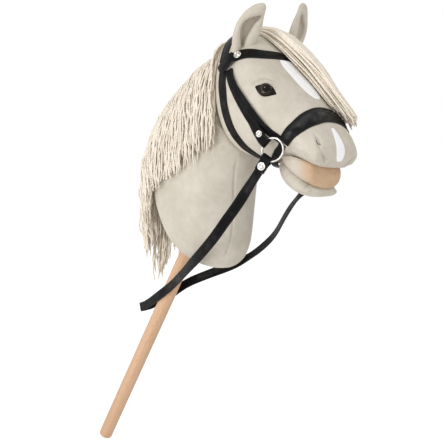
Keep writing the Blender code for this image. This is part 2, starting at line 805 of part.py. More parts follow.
def between(values, share):
    """The value at a share of the way through evenly spread values."""
    place = share * (len(values) - 1)
    index = min(int(place), len(values) - 2)
    return values[index] + (values[index + 1] - values[index]) * (place - index)


def ring_frame(side):
    """The ring's centre, its forward and upward directions in its own plane, and its outward axis."""
    forward = Vector((math.cos(RING_TURN), -side * math.sin(RING_TURN), 0.0))
    up = Vector((0.0, 0.0, 1.0))
    axis = Vector((math.sin(RING_TURN), side * math.cos(RING_TURN), 0.0))
    to_strap = forward * math.cos(CHEEKPIECE_ON_RING) + up * math.sin(CHEEKPIECE_ON_RING)
    x, z, out = RING_HUNG_AT
    centre = at(x, z, side * out) - to_strap * (RING_OUTER_DIAMETER - RING_WIRE) / 2
    return centre, forward, up, axis


def on_ring(side, angle):
    """The middle of the wire at an angle round the ring, and the radial and wire directions there."""
    centre, forward, up, _ = ring_frame(side)
    radius = (RING_OUTER_DIAMETER - RING_WIRE) / 2
    radial = forward * math.cos(angle) + up * math.sin(angle)
    along = up * math.cos(angle) - forward * math.sin(angle)
    return centre + radial * radius, radial, along


def build_rings():
    for word, side in SIDES:
        centre, _, _, axis = ring_frame(side)
        rings = []
        for step in range(RING_STEPS):
            middle, radial, _ = on_ring(side, 2 * math.pi * step / RING_STEPS)
            ring = []
            for part in range(RING_SIDES):
                turn = 2 * math.pi * part / RING_SIDES
                ring.append(middle + (radial * math.cos(turn) + axis * math.sin(turn)) * RING_WIRE / 2)
            rings.append(ring)
        skin = bmesh.new()
        made = [[skin.verts.new(point) for point in ring] for ring in rings]
        for index, ring in enumerate(made):
            following = made[(index + 1) % RING_STEPS]
            for part in range(RING_SIDES):
                after = (part + 1) % RING_SIDES
                skin.faces.new((ring[part], ring[after], following[after], following[part]))
        make_object(f"ring_{word}", skin, CHROME, origin=centre)


def loop_radius(width, spare=0.0):
    """The bore that a strap's loop needs to pass the curved wire of the ring."""
    wire_radius = (RING_OUTER_DIAMETER - RING_WIRE) / 2
    bow = (width / 2) ** 2 / (2 * wire_radius)
    return RING_WIRE / 2 + bow / 2 + RING_CLEARANCE + spare, bow / 2


def fit_stud(name, strap, place, axis, diameter, post_length):
    """A domed cap on a strap, whose post passes through it. Both get a gap, cut from the strap."""
    radius, post = diameter / 2, STUD_POST_DIAMETER / 2
    room = [
        (post + GAP, -post_length - STUD_DOME),
        (post + GAP, -GAP),
        (radius + GAP, -GAP),
        (radius + GAP, 2 * STUD_DOME),
    ]
    cut(strap, as_cutter(turned(name + "_room", room, 14, None, place, axis)))
    profile = [
        (post, -post_length),
        (post, 0.0),
        (radius, 0.0),
        (radius, STUD_DOME * 0.3),
        (radius * 0.75, STUD_DOME * 0.8),
        (radius * 0.4, STUD_DOME),
    ]
    return turned(name, profile, 12, CHROME, place, axis)


def build_crownpiece(surface, head_space):
    """The strap over the poll, behind the ears."""
    points, normals = laid_route(guide_over(CROWN_GUIDE, CROWN_MIDDLE), surface, STRAP_STEP)
    widths = [CROWN_WIDTH * (1 - 0.2 * math.sin(math.pi * share)) for share in shares(len(points))]
    crown = strap_blank("crownpiece", points, normals, widths, [STRAP_THICKNESS] * len(points))
    cut(crown, head_space)
    return grown_strap("crown_space", points, normals, widths)


def strap_space(name, points, normals, widths, tops, depth=4 * MM, gap=GAP):
    """The space of a strap with a gap above it, beside it and beyond its ends, down into the head."""
    first = points[0] + (points[0] - points[1]).normalized() * gap
    last = points[-1] + (points[-1] - points[-2]).normalized() * gap
    points = [first] + list(points[1:-1]) + [last]
    wider = [width + 2 * gap for width in widths]
    low, high = [-depth] * len(points), [top + gap for top in tops]
    return as_cutter(make_object(name, ribbon_skin(points, normals, wider, low, high), None))


def grown_strap(name, points, normals, widths, thickness=STRAP_THICKNESS):
    """The space of a plain strap or patch that lies on the head."""
    return strap_space(name, points, normals, widths, [thickness + GAP] * len(points), 3 * MM)


def build_throatlash(surface, head_space, crown_space):
    """The narrow strap from the browband's ends round the throat."""
    points, normals = laid_route(guide_over(THROAT_GUIDE, THROAT_MIDDLE), surface, STRAP_STEP)
    widths = [THROATLASH_WIDTH] * len(points)
    strap = strap_blank("throatlash", points, normals, widths, [STRAP_THICKNESS] * len(points))
    cut(strap, head_space, crown_space)
    return grown_strap("throatlash_space", points, normals, widths)


def build_noseband(surface, head_space):
    """The broad band over the nose and the chin strap that closes it under the jaw."""
    points, normals = laid_route(guide_over(NOSE_GUIDE, NOSE_MIDDLE), surface, STRAP_STEP * 0.8)
    widths = [
        NOSEBAND_END_WIDTH + (NOSEBAND_WIDTH - NOSEBAND_END_WIDTH) * min(1.0, 3 * min(share, 1 - share))
        for share in shares(len(points))
    ]
    noseband = strap_blank("noseband", points, normals, widths, [STRAP_THICKNESS] * len(points))
    cut(noseband, head_space)
    space = grown_strap("noseband_space", points, normals, widths)
    points, normals = laid_route(guide_over(CHIN_GUIDE, CHIN_MIDDLE), surface, STRAP_STEP * 0.8)
    widths = [CHIN_STRAP_WIDTH] * len(points)
    low, high = [], []
    for share in shares(len(points)):
        free = min(1.0, max(0.0, (min(share, 1 - share) - 0.14) / 0.26))
        slack = CHIN_SLACK * free * free * (3 - 2 * free)
        low.append(slack + GAP if slack > STRAP_THICKNESS else -STRAP_THICKNESS)
        high.append(slack + GAP + STRAP_THICKNESS)
    chin = make_object("chin_strap", ribbon_skin(points, normals, widths, low, high), LEATHER)
    cut(chin, head_space, space)
    return space, strap_space("chin_space", points, normals, widths, high, 3 * MM)


def build_cheekpiece(word, side, surface, cutters):
    """The strap down to the ring, folded over it and held by a stud. Returns the spaces it takes."""
    wire, radial, along = on_ring(side, CHEEKPIECE_ON_RING)
    axis = ring_frame(side)[3]
    bore, bow = loop_radius(CHEEKPIECE_WIDTH)
    hub = wire - radial * bow
    shell = bore + STRAP_THICKNESS
    points, normals = laid_route(guide_on(side, CHEEK_GUIDE), surface, STRAP_STEP)
    raised = STRAP_THICKNESS * 0.5 + GAP
    centres = [point + normal * raised for point, normal in zip(points, normals)]
    halfway = centres[-1].lerp(hub, 0.45) + axis * 1.5 * MM
    free = spline([centres[-1], halfway, hub + radial * shell * 0.75], 7)[1:]
    centres += free
    normals = normals + [axis.lerp(normals[-1], 0.5 * (1 - share)) for share in shares(len(free))]
    count = len(centres)
    widths = [CHEEKPIECE_WIDTH] * count
    thick = STRAP_THICKNESS / 2
    folded = len(points)
    on_head, last_on_head, doubled = -thick - 1.4 * MM, -thick, -thick * 2
    low = [on_head] * (folded - 1) + [last_on_head] + [doubled] * (count - folded)
    high = [thick] * folded + [thick * 2] * (count - folded)
    skin = ribbon_skin(centres, normals, widths, low, high)
    strap = make_object(f"cheekpiece_{word}", skin, LEATHER)
    half = CHEEKPIECE_WIDTH / 2
    tube = turned(f"cheek_loop_{word}", [(shell, -half), (shell, half)], 16, None, hub, along)
    hole = turned(f"cheek_bore_{word}", [(bore, -half - MM), (bore, half + MM)], 16, None, hub, along)
    join(strap, as_cutter(tube))
    cut(strap, as_cutter(hole), *cutters)
    studded = (folded + count) // 2
    normal = normals[studded].normalized()
    cap = centres[studded] + normal * (thick * 2 + GAP / 2)
    fit_stud(f"cheek_stud_{word}", strap, cap, normal, CHEEK_STUD_DIAMETER, 2 * STRAP_THICKNESS - GAP)
    space = strap_space(f"cheek_space_{word}", centres, normals, widths, high)
    loop_profile = [(shell + GAP, -half - GAP), (shell + GAP, half + GAP)]
    loop_space = turned(f"cheek_loop_space_{word}", loop_profile, 16, None, hub, along)
    return space, as_cutter(loop_space)


def build_hanger(word, side, surface, cutters):
    """The slim strap over the cheekpiece that carries the noseband. Returns the space it takes."""
    points, normals = laid_route(guide_on(side, HANGER_GUIDE), surface, STRAP_STEP)
    over = STRAP_THICKNESS + GAP
    lifts = [over * min(1.0, max(0.0, (0.86 - share) / 0.12)) for share in shares(len(points))]
    centres = [point + normal * lift for point, normal, lift in zip(points, normals, lifts)]
    low = [-0.5 * MM if lift > over * 0.9 else -2 * MM for lift in lifts]
    high = [GAP + STRAP_THICKNESS] * len(points)
    widths = [HANGER_WIDTH] * len(points)
    skin = ribbon_skin(centres, normals, widths, low, high)
    hanger = make_object(f"noseband_hanger_{word}", skin, LEATHER)
    cut(hanger, *cutters)
    return strap_space(f"hanger_space_{word}", centres, normals, widths, high)


def build_cheek_straps(surface, head_space, crown_space, throat_space, nose_space, chin_space):
    """The cheekpieces down to the rings, and the hangers that carry the noseband."""
    spaces = []
    for word, side in SIDES:
        cutters = (head_space, crown_space, throat_space, nose_space)
        space, loop_space = build_cheekpiece(word, side, surface, cutters)
        hanger_cutters = (head_space, space, loop_space, nose_space, chin_space, crown_space, throat_space)
        spaces += [space, build_hanger(word, side, surface, hanger_cutters)]
    return spaces


def join(obj, other):
    """Joins another solid to the object, and applies it."""
    modifier = obj.modifiers.new("join", "BOOLEAN")
    modifier.operation = "UNION"
    modifier.object = other
    apply_modifiers(obj)


def build_browband(surface, cutters):
    """The band over the forehead. Its ends loop over the cheek straps and each is held by a stud."""
    points, normals = laid_route(guide_over(BROW_GUIDE, BROW_MIDDLE), surface, STRAP_STEP * 0.85)
    over = 2 * (STRAP_THICKNESS + GAP)
    low, high, widths = [], [], []
    for share in shares(len(points)):
        near_end = min(share, 1 - share)
        rise = min(1.0, max(0.0, (0.16 - near_end) / 0.05))
        low.append(-2 * MM)
        high.append(GAP + STRAP_THICKNESS + over * rise)
        widths.append(BROWBAND_WIDTH * (1 + 0.1 * rise))
    band_body = make_object("browband", ribbon_skin(points, normals, widths, low, high), LEATHER)
    cut(band_body, *cutters)
    for word, side in SIDES:
        wanted = guide_on(side, (BROW_STUD_AT,))[0]
        index = min(range(len(points)), key=lambda i: (points[i] - wanted).length)
        normal = normals[index]
        cap = points[index] + normal * (high[index] + GAP / 2)
        fit_stud(f"brow_stud_{word}", band_body, cap, normal, STUD_DIAMETER, STRAP_THICKNESS)
    return strap_space("browband_space", points, normals, widths, high)


def rein_frame(side):
    """The hub of the rein's end loop, its bore direction, its strap direction and its outward normal."""
    middle = REIN_ON_RING - REIN_LIFT / 2
    wire, radial, along = on_ring(side, middle)
    centre = ring_frame(side)[0]
    back = Matrix.Rotation(-REIN_LIFT / 2, 3, "Y")
    bow = loop_radius(REIN_WIDTH)[1]
    hub = centre + back @ (wire - radial * bow - centre)
    bore_axis = back @ along
    strap = back @ radial
    normal = bore_axis.cross(strap).normalized()
    if normal.y * side < 0:
        normal = -normal
    return hub, bore_axis.normalized(), strap.normalized(), normal


def build_rein_ends():
    """The rein's two ends: each is folded over its ring and held by a stud."""
    for word, side in SIDES:
        hub, bore_axis, strap, normal = rein_frame(side)
        bore = loop_radius(REIN_WIDTH, 0.7 * MM)[0]
        shell = bore + STRAP_THICKNESS * 0.95
        end = rein_tab_end(side)
        centres = [hub + strap * shell * 0.75, hub.lerp(end, 0.6), end]
        count = len(centres)
        low, high = [-STRAP_THICKNESS] * count, [STRAP_THICKNESS] * count
        tab_skin = ribbon_skin(centres, [normal] * count, [REIN_WIDTH] * count, low, high)
        tab = make_object(f"rein_end_{word}", tab_skin, LEATHER, origin=hub)
        half = REIN_WIDTH / 2
        tube = turned(f"rein_loop_{word}", [(shell, -half), (shell, half)], 16, None, hub, bore_axis)
        hole = turned(f"rein_bore_{word}", [(bore, -half - MM), (bore, half + MM)], 16, None, hub, bore_axis)
        join(tab, as_cutter(tube))
        cut(tab, as_cutter(hole))
        cap = hub.lerp(end, 0.62) + normal * (STRAP_THICKNESS + GAP / 2)
        fit_stud(f"rein_stud_{word}", tab, cap, normal, STUD_DIAMETER, 2 * STRAP_THICKNESS - GAP)


def rein_tab_end(side):
    hub, _, strap, _ = rein_frame(side)
    x, z, out = REIN_ROUTE["right" if side < 0 else "left"][0]
    towards = (at(x, z, side * out) - hub).normalized()
    return hub + (strap * 0.4 + towards * 0.6).normalized() * REIN_TAB


def rein_strand(word, side):
    """The middle line of one strand, from a gap behind its folded end to the fold."""
    hub = rein_frame(side)[0]
    end = rein_tab_end(side)
    start = end + (end - hub).normalized() * GAP
    follow = start + (end - hub).normalized() * REIN_STEP / 2
    guide = [follow] + [at(x, z, side * out) for x, z, out in REIN_ROUTE[word]]
    return [start] + even_path(spline(guide, 120), REIN_STEP)


def rein_route():
    """The middle line of the rein from the right end to the left end, and its flat side's normals."""
    right, left = rein_strand("right", -1.0), rein_strand("left", 1.0)
    fold_centre = at(*REIN_FOLD_AT)
    run = Vector((fold_centre.x - right[-1].x, 0.0, fold_centre.z - right[-1].z)).normalized()
    fold = []
    for step in range(7):
        turn = math.radians(-90 + 30 * step)
        fold.append(fold_centre + (run * math.cos(turn) + Vector((0.0, math.sin(turn), 0.0))) * REIN_FOLD)
    points = right + fold + left[::-1]
    middle = len(right) + 3
    normals = []
    for index, point in enumerate(points):
        after = points[min(index + 1, len(points) - 1)]
        before = points[max(index - 1, 0)]
        along = (after - before).normalized()
        back = Vector((along.x, 0.0, along.z)) * (1.0 if index <= middle else -1.0)
        back = run if index == middle else back.normalized()
        across = Vector((-back.z, 0.0, back.x))
        outward = along.cross(across).normalized()
        if index < len(right):
            outward = turned_forward(outward, along, "right", -1.0, index / len(right))
        elif index >= len(right) + len(fold):
            outward = turned_forward(outward, along, "left", 1.0, (len(points) - 1 - index) / len(left))
        normals.append(outward)
    return points, normals


def turned_forward(outward, along, word, side, share):
    """A strand's outward normal, turned forward over the part of its length where the strand does."""
    start, turned_at, until, end = REIN_TURNS[word]
    up_to = min(1.0, max(0.0, (share - start) / (turned_at - start)))
    back_from = min(1.0, max(0.0, (end - share) / (end - until)))
    part = min(up_to, back_from)
    part = part * part * (3 - 2 * part)
    facing = Vector((math.sin(REIN_TURN_FORWARD), side * math.cos(REIN_TURN_FORWARD), 0.0))
    mixed = outward.lerp(facing, part)
    return (mixed - along * mixed.dot(along)).normalized()


def build_rein():
    points, normals = rein_route()
    count = len(points)
    thick = STRAP_THICKNESS / 2
    skin = ribbon_skin(points, normals, [REIN_WIDTH] * count, [-thick] * count, [thick] * count)
    make_object("rein", skin, LEATHER)


def mane_column(surface, place, side, length):
    """The inner and outer lines of a lock at one place of the crest. They hang and never swing back in."""
    x, top, thickness, swing = place
    reach, inner, outer = 0.0, [], []
    for share, fullness in zip(MANE_ROWS, MANE_FULLNESS):
        height = top - length * share
        beyond = at(x, height) + Vector((0.0, side * MANE_REACH, 0.0))
        hit, _, _, _ = surface.ray_cast(beyond, Vector((0.0, -side, 0.0)))
        reach = max(reach, abs(hit.y) / MM if hit is not None else 0.0)
        near = max(reach - 1.0, MANE_SPLIT / MM / 2)
        back = swing * math.sin(math.pi / 2 * min(1.0, share / 0.6))
        inner.append(at(x - back, height, side * near))
        outer.append(at(x - back, height, side * (near + thickness * fullness)))
    return inner, outer


def build_mane(surface, cutters):
    """Locks of yarn that hang from the crest on both sides, one after another down the neck."""
    split = MANE_SPLIT / MM / 2
    for word, side in SIDES:
        for lock, length in enumerate(MANE_LENGTHS[word]):
            front = Vector((*MANE_EDGES[lock], MANE_THICKNESS[lock], MANE_SWING[lock]))
            back = Vector((*MANE_EDGES[lock + 1], MANE_THICKNESS[lock + 1], MANE_SWING[lock + 1]))
            middle = (front + back) / 2 + Vector((-1.0, 2.0, 2.0, 0.0))
            inset = Vector((split, 0.0, 0.0, 0.0))
            places = (front - inset, middle, back + inset)
            columns = [mane_column(surface, place, side, length) for place in places]
            rings = []
            for row in range(len(MANE_ROWS)):
                inner = [column[0][row] for column in columns]
                outer = [column[1][row] for column in columns]
                rings.append(inner + outer[::-1])
            first = sum(rings[0], Vector()) / 6 + Vector((0.0, 0.0, MANE_CROWN))
            last = sum(rings[-1], Vector()) / 6 - Vector((0.0, 0.0, MANE_TIP))
            lock_body = make_object(f"mane_{word}_{lock + 1}", closed_rings(rings, first, last), YARN)
            cut(lock_body, *cutters)


def build_forelock(surface, cutters):
    """Two locks that fall from the poll between the ears, over the forehead to the left of the face."""
    for number, guide in enumerate(FORELOCK_GUIDES, 1):
        points, normals = laid_route([at(x, z, y) for x, z, y in guide], surface, FORELOCK_STEP)
        count = len(points)
        widths = [FORELOCK_WIDTH * (0.8 + 0.2 * math.sin(math.pi * share)) for share in shares(count)]
        over_patches = PATCH_THICKNESS + 3 * GAP
        low = [-FORELOCK_SINK if share < 0.3 else over_patches for share in shares(count)]
        high = [FORELOCK_THICKNESS * between(FORELOCK_FULLNESS, share) for share in shares(count)]
        lock = make_object(f"forelock_{number}", ribbon_skin(points, normals, widths, low, high), YARN)
        cut(lock, *cutters)
        space = strap_space(f"forelock_space_{number}", points, normals, widths, high, gap=MANE_CLEARANCE)
        cutters = [*cutters, space]


def main():
    clear_scene()
    build_stick()
    build_stick_holders()
    head = build_head()
    surface = surface_of(head)
    head_space = grown_form("head_space", HEAD_FORM)
    neck = build_neck(head_space)
    crown_space = build_crownpiece(surface, head_space)
    throat_space = build_throatlash(surface, head_space, crown_space)
    nose_space, chin_space = build_noseband(surface, head_space)
    build_mouth(head_space, chin_space)
    straps = build_cheek_straps(surface, head_space, crown_space, throat_space, nose_space, chin_space)
    brow_space = build_browband(surface, [head_space, crown_space, throat_space, *straps])
    build_ears(head_space, crown_space, brow_space)
    build_eyes(head, surface, head_space)
    blaze_space = build_face_patches(surface, head_space, brow_space)
    build_rings()
    build_rein_ends()
    build_rein()
    hide = surface_of(head, neck)
    head_room = grown_form("head_room", HEAD_FORM, MANE_CLEARANCE)
    neck_room = grown_form("neck_room", NECK_FORM, MANE_CLEARANCE)
    build_mane(hide, [head_room, neck_room, crown_space])
    build_forelock(surface, [head_room, brow_space, blaze_space, nose_space])


main()
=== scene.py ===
"""Looks of a hobby horse: stuffed velour head and neck, yarn mane, leather bridle and rein, beech stick.

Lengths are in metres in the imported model's frame. Only routes and places on the stuffed parts are given as
(x, z, y) in millimetres from the neck foot, where the stick enters the neck, with the distance from the
middle plane last. A finish gives its scales in features to the metre.
"""

import json
import logging
import math
from dataclasses import dataclass, field
from enum import Enum
from typing import Callable, Sequence

import bpy
import numpy as np
from mathutils import Matrix, Vector
from mathutils.bvhtree import BVHTree


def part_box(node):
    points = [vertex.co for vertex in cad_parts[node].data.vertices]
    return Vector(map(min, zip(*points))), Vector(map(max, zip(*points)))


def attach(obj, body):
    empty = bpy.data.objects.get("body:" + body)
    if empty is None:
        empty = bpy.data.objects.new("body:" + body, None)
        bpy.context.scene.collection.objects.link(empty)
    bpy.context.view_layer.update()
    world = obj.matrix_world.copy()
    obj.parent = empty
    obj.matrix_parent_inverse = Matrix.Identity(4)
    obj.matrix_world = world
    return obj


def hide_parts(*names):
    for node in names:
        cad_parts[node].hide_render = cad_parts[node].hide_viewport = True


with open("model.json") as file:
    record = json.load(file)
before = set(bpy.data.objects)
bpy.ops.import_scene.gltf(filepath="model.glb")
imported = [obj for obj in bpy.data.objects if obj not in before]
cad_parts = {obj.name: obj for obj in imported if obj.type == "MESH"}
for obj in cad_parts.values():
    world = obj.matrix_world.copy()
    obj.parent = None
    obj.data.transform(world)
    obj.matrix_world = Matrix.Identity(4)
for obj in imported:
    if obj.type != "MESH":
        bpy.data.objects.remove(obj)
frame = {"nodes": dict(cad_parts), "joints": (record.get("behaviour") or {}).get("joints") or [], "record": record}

LOG = logging.getLogger("hobby_horse")
MM = 0.001

STICK_SHOWN = 0.44
STICK_INSIDE = 0.19
STICK_AXIS = -Vector(frame["record"]["mounts"][0]["axis"])
NECK_FOOT = STICK_AXIS * STICK_SHOWN
STRAP_THICKNESS = 2.0 * MM
# The rays that see the floor and the surroundings as white.
SEEN_RAYS = ("Is Camera Ray", "Is Glossy Ray", "Is Transmission Ray")
# Numbers that a mesh holds for each vertex, for its finish to read.
# How far a skin takes its second colour: dark seams, painted shade in creases and the ears' hollows, and the mouth
# lining's paler tone.
SEAM_SHADE_AND_TONE = "seam"
# How dark a strand is: its own tone, and painted shade the deeper it lies.
TINT_AND_SHADE = "tint"
FROM_PUPIL = "from_pupil"

Point = tuple[float, float, float]
Colour = tuple[float, float, float]
Route = Sequence[Point]


class Side(Enum):
    """A side of the horse. The value is the sign of Y there."""

    RIGHT = -1.0
    LEFT = 1.0

    @property
    def word(self) -> str:
        """The side as the nodes' names say it."""
        return self.name.lower()


class Body(Enum):
    """The bodies of the frame that pieces ride on."""

    TOY = "toy"
    RING_RIGHT = "ring_right"
    RING_LEFT = "ring_left"
    REIN = "rein"


def at(x: float, z: float, y: float = 0.0) -> np.ndarray:
    """A point given in millimetres from the neck foot."""
    return np.array(NECK_FOOT) + np.array((x, y, z)) * MM


def on_side(route: Route, side: Side) -> np.ndarray:
    """A route given for the right half, on the side asked for."""
    return np.array([at(x, z, side.value * abs(y)) for x, z, y in route])


def over_both(half: Route, middle: Point) -> np.ndarray:
    """A route from its right end over the middle plane to its left end."""
    return np.vstack((on_side(half, Side.RIGHT), [at(*middle)], on_side(half[::-1], Side.LEFT)))


def unit(vectors: np.ndarray) -> np.ndarray:
    """Vectors, or one vector, at a length of one."""
    return vectors / np.maximum(np.linalg.norm(vectors, axis=-1, keepdims=True), 1e-12)


def smoothstep(values: np.ndarray) -> np.ndarray:
    """An eased step from 0 to 1 as the values pass from 0 to 1."""
    clipped = np.clip(values, 0.0, 1.0)
    return clipped * clipped * (3 - 2 * clipped)


def spline(points: np.ndarray, count: int) -> np.ndarray:
    """Points spread over a smooth curve through the given ones.

    Args:
        points: The points that the curve passes.
        count: How many points to return.

    Returns:
        An array of count rows.
    """
    given = np.asarray(points, float)
    padded = np.vstack((2 * given[0] - given[1], given, 2 * given[-1] - given[-2]))
    place = np.linspace(0, len(given) - 1, count)
    index = np.minimum(place.astype(int), len(given) - 2)
    part = (place - index)[:, None]
    a, b, c, d = (padded[index + shift] for shift in range(4))
    linear = (c - a) * part
    square = (2 * a - 5 * b + 4 * c - d) * part**2
    cubic = (3 * b - a - 3 * c + d) * part**3
    return 0.5 * (2 * b + linear + square + cubic)


def distances_along(points: np.ndarray) -> np.ndarray:
    """How far along a route each of its points is."""
    return np.concatenate(([0.0], np.cumsum(np.linalg.norm(np.diff(points, axis=0), axis=1))))


def even(points: np.ndarray, step: float) -> np.ndarray:
    """The same route with its points an even step apart."""
    lengths = distances_along(points)
    count = max(2, round(lengths[-1] / step) + 1)
    wanted = np.linspace(0, lengths[-1], count)
    return np.column_stack([np.interp(wanted, lengths, points[:, axis]) for axis in range(3)])


def route_length(points: np.ndarray) -> float:
    """The length of a route."""
    return float(np.linalg.norm(np.diff(points, axis=0), axis=1).sum())


def averaged(values: np.ndarray, reach: int) -> np.ndarray:
    """Each row as the mean of the rows within reach of it."""
    return np.array([values[max(i - reach, 0) : i + reach + 1].mean(axis=0) for i in range(len(values))])


def eased(points: np.ndarray, reach: int) -> np.ndarray:
    """A route with its kinks averaged out and its two ends kept."""
    last = len(points) - 1
    reaches = [min(reach, index, last - index) for index in range(last + 1)]
    return np.array([points[i - near : i + near + 1].mean(axis=0) for i, near in enumerate(reaches)])


def squared(vectors: np.ndarray, along: np.ndarray) -> np.ndarray:
    """Unit vectors, each turned square to the direction of its row."""
    return unit(vectors - along * (vectors * along).sum(axis=1, keepdims=True))


def select_only(*objects: bpy.types.Object) -> None:
    """Selects these objects alone, with the first one active."""
    bpy.ops.object.select_all(action="DESELECT")
    for each in objects:
        each.select_set(True)
    bpy.context.view_layer.objects.active = objects[0]


def apply_modifier(piece: bpy.types.Object, kind: str, **settings: object) -> None:
    """Adds a modifier to a piece, sets it and applies it.

    Args:
        piece: The object.
        kind: The modifier's type, as Blender names it.
        settings: Its settings.
    """
    modifier = piece.modifiers.new(kind.lower(), kind)
    for name, value in settings.items():
        setattr(modifier, name, value)
    select_only(piece)
    bpy.ops.object.modifier_apply(modifier=modifier.name)


def mesh_piece(
    name: str, points: np.ndarray, faces: list[tuple[int, ...]], loop_uvs: np.ndarray | None = None
) -> bpy.types.Object:
    """A smooth-shaded object from points and faces.

    Args:
        name: The piece's name.
        points: Its vertices.
        faces: Its faces, as vertex indices.
        loop_uvs: A UV pair for each face corner, in the order of the faces.

    Returns:
        The new object, at the origin.
    """
    mesh = bpy.data.meshes.new(name)
    mesh.from_pydata([tuple(point) for point in points], [], faces)
    if loop_uvs is not None:
        layer = mesh.uv_layers.new(name="UVMap")
        layer.data.foreach_set("uv", np.asarray(loop_uvs, np.float32).ravel())
    mesh.shade_smooth()
    piece = bpy.data.objects.new(name, mesh)
    bpy.context.scene.collection.objects.link(piece)
    return piece


def grid_faces(rows: int, columns: int, closed: bool = False) -> list[tuple[int, ...]]:
    """The quads of a grid of points.

    Args:
        rows: How many rows the grid has.
        columns: How many points each row has.
        closed: Whether each row's last point joins its first one.

    Returns:
        The faces, as vertex indices.
    """
    faces = []
    for row in range(rows - 1):
        for column in range(columns if closed else columns - 1):
            first, after = row * columns + column, row * columns + (column + 1) % columns
            faces.append((first, after, after + columns, first + columns))
    return faces


def face_outwards(piece: bpy.types.Object, merge: float = 0.0) -> None:
    """Turns a closed skin's faces outwards, after its vertices closer than the merge distance are joined."""
    select_only(piece)
    bpy.ops.object.mode_set(mode="EDIT")
    bpy.ops.mesh.select_all(action="SELECT")
    if merge:
        bpy.ops.mesh.remove_doubles(threshold=merge)
    bpy.ops.mesh.normals_make_consistent(inside=False)
    bpy.ops.object.mode_set(mode="OBJECT")


def closed_loft(name: str, rings: np.ndarray) -> bpy.types.Object:
    """A closed skin through rings of points, with a pole at each end.

    Args:
        name: The piece's name.
        rings: An array of rings, points round each ring, and their three coordinates.

    Returns:
        The new object, with its faces outwards.
    """
    count, around = rings.shape[:2]
    points = np.vstack((rings.reshape(-1, 3), rings[0].mean(axis=0), rings[-1].mean(axis=0)))
    first_pole, last_pole, last = count * around, count * around + 1, (count - 1) * around
    faces = grid_faces(count, around, closed=True)
    for step in range(around):
        after = (step + 1) % around
        faces += [(step, first_pole, after), (last + step, last + after, last_pole)]
    piece = mesh_piece(name, points, faces)
    face_outwards(piece)
    return piece


def copy_of(node: str, name: str) -> bpy.types.Object:
    """A new piece with a merged copy of a node's mesh."""
    piece = bpy.data.objects.new(name, frame["nodes"][node].data.copy())
    piece.data.materials.clear()
    bpy.context.scene.collection.objects.link(piece)
    face_outwards(piece, merge=0.01 * MM)
    return piece


def vertex_vectors(piece: bpy.types.Object, name: str) -> np.ndarray:
    """A vector property of a piece's vertices as an array."""
    vectors = np.empty(len(piece.data.vertices) * 3, np.float32)
    piece.data.vertices.foreach_get(name, vectors)
    return vectors.reshape(-1, 3).astype(float)


def points_of(piece: bpy.types.Object) -> np.ndarray:
    """A piece's vertices as an array."""
    return vertex_vectors(piece, "co")


def normals_of(piece: bpy.types.Object) -> np.ndarray:
    """A piece's vertex normals as an array."""
    return vertex_vectors(piece, "normal")


def set_points(piece: bpy.types.Object, points: np.ndarray) -> None:
    """Moves a piece's vertices."""
    piece.data.vertices.foreach_set("co", points.astype(np.float32).ravel())
    piece.data.update()


def set_attribute(piece: bpy.types.Object, name: str, values: np.ndarray) -> None:
    """Gives each vertex of a piece a number that its finish reads."""
    attribute = piece.data.attributes.get(name) or piece.data.attributes.new(name, "FLOAT", "POINT")
    attribute.data.foreach_set("value", np.asarray(values, np.float32))


def thin_axis(node: str, side: Side) -> tuple[np.ndarray, np.ndarray]:
    """The middle of a flat turned node and its axis, which points away from the horse."""
    points = points_of(frame["nodes"][node])
    low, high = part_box(node)
    middle = points.mean(axis=0)
    axis = np.linalg.svd(points - middle, full_matrices=False)[2][-1]
    axis = axis * (1.0 if axis[1] * side.value > 0 else -1.0)
    return np.array((low + high) / 2), axis


def turned(
    name: str, profile: Sequence[tuple[float, float]], steps: int, place: np.ndarray, axis: np.ndarray
) -> bpy.types.Object:
    """A solid turned round an axis.

    Args:
        name: The piece's name.
        profile: (radius, height) points from the bottom pole to the top pole, in metres.
        steps: How many faces go round it.
        place: The point of the axis at height 0.
        axis: The axis, towards greater heights.

    Returns:
        The new object, at the origin.
    """
    mesh = bpy.data.meshes.new(name)
    edges = [(index, index + 1) for index in range(len(profile) - 1)]
    mesh.from_pydata([(radius, 0.0, height) for radius, height in profile], edges, [])
    piece = bpy.data.objects.new(name, mesh)
    bpy.context.scene.collection.objects.link(piece)
    merge = 0.002 * MM
    apply_modifier(
        piece,
        "SCREW",
        axis="Z",
        steps=steps,
        render_steps=steps,
        use_merge_vertices=True,
        merge_threshold=merge,
        use_smooth_shade=True,
    )
    face_outwards(piece, merge)
    turn = Vector(axis).to_track_quat("Z", "Y").to_matrix().to_4x4()
    piece.data.transform(Matrix.Translation(Vector(place)) @ turn)
    return piece


def settle(piece: bpy.types.Object, finish: bpy.types.Material, slot: str, body: Body, *nodes: str) -> None:
    """Dresses a finished piece, sets it on its body and hides the nodes that it stands for.

    Args:
        piece: The finished object.
        finish: Its material.
        slot: The record's material slot. Not used.
        body: The body that carries it.
        nodes: The nodes of the frame that it replaces.
    """
    piece.data.materials.clear()
    piece.data.materials.append(finish)
    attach(piece, body.value)
    if nodes:
        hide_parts(*nodes)
    LOG.info("%s: %d faces on %s", piece.name, len(piece.data.polygons), body.value)


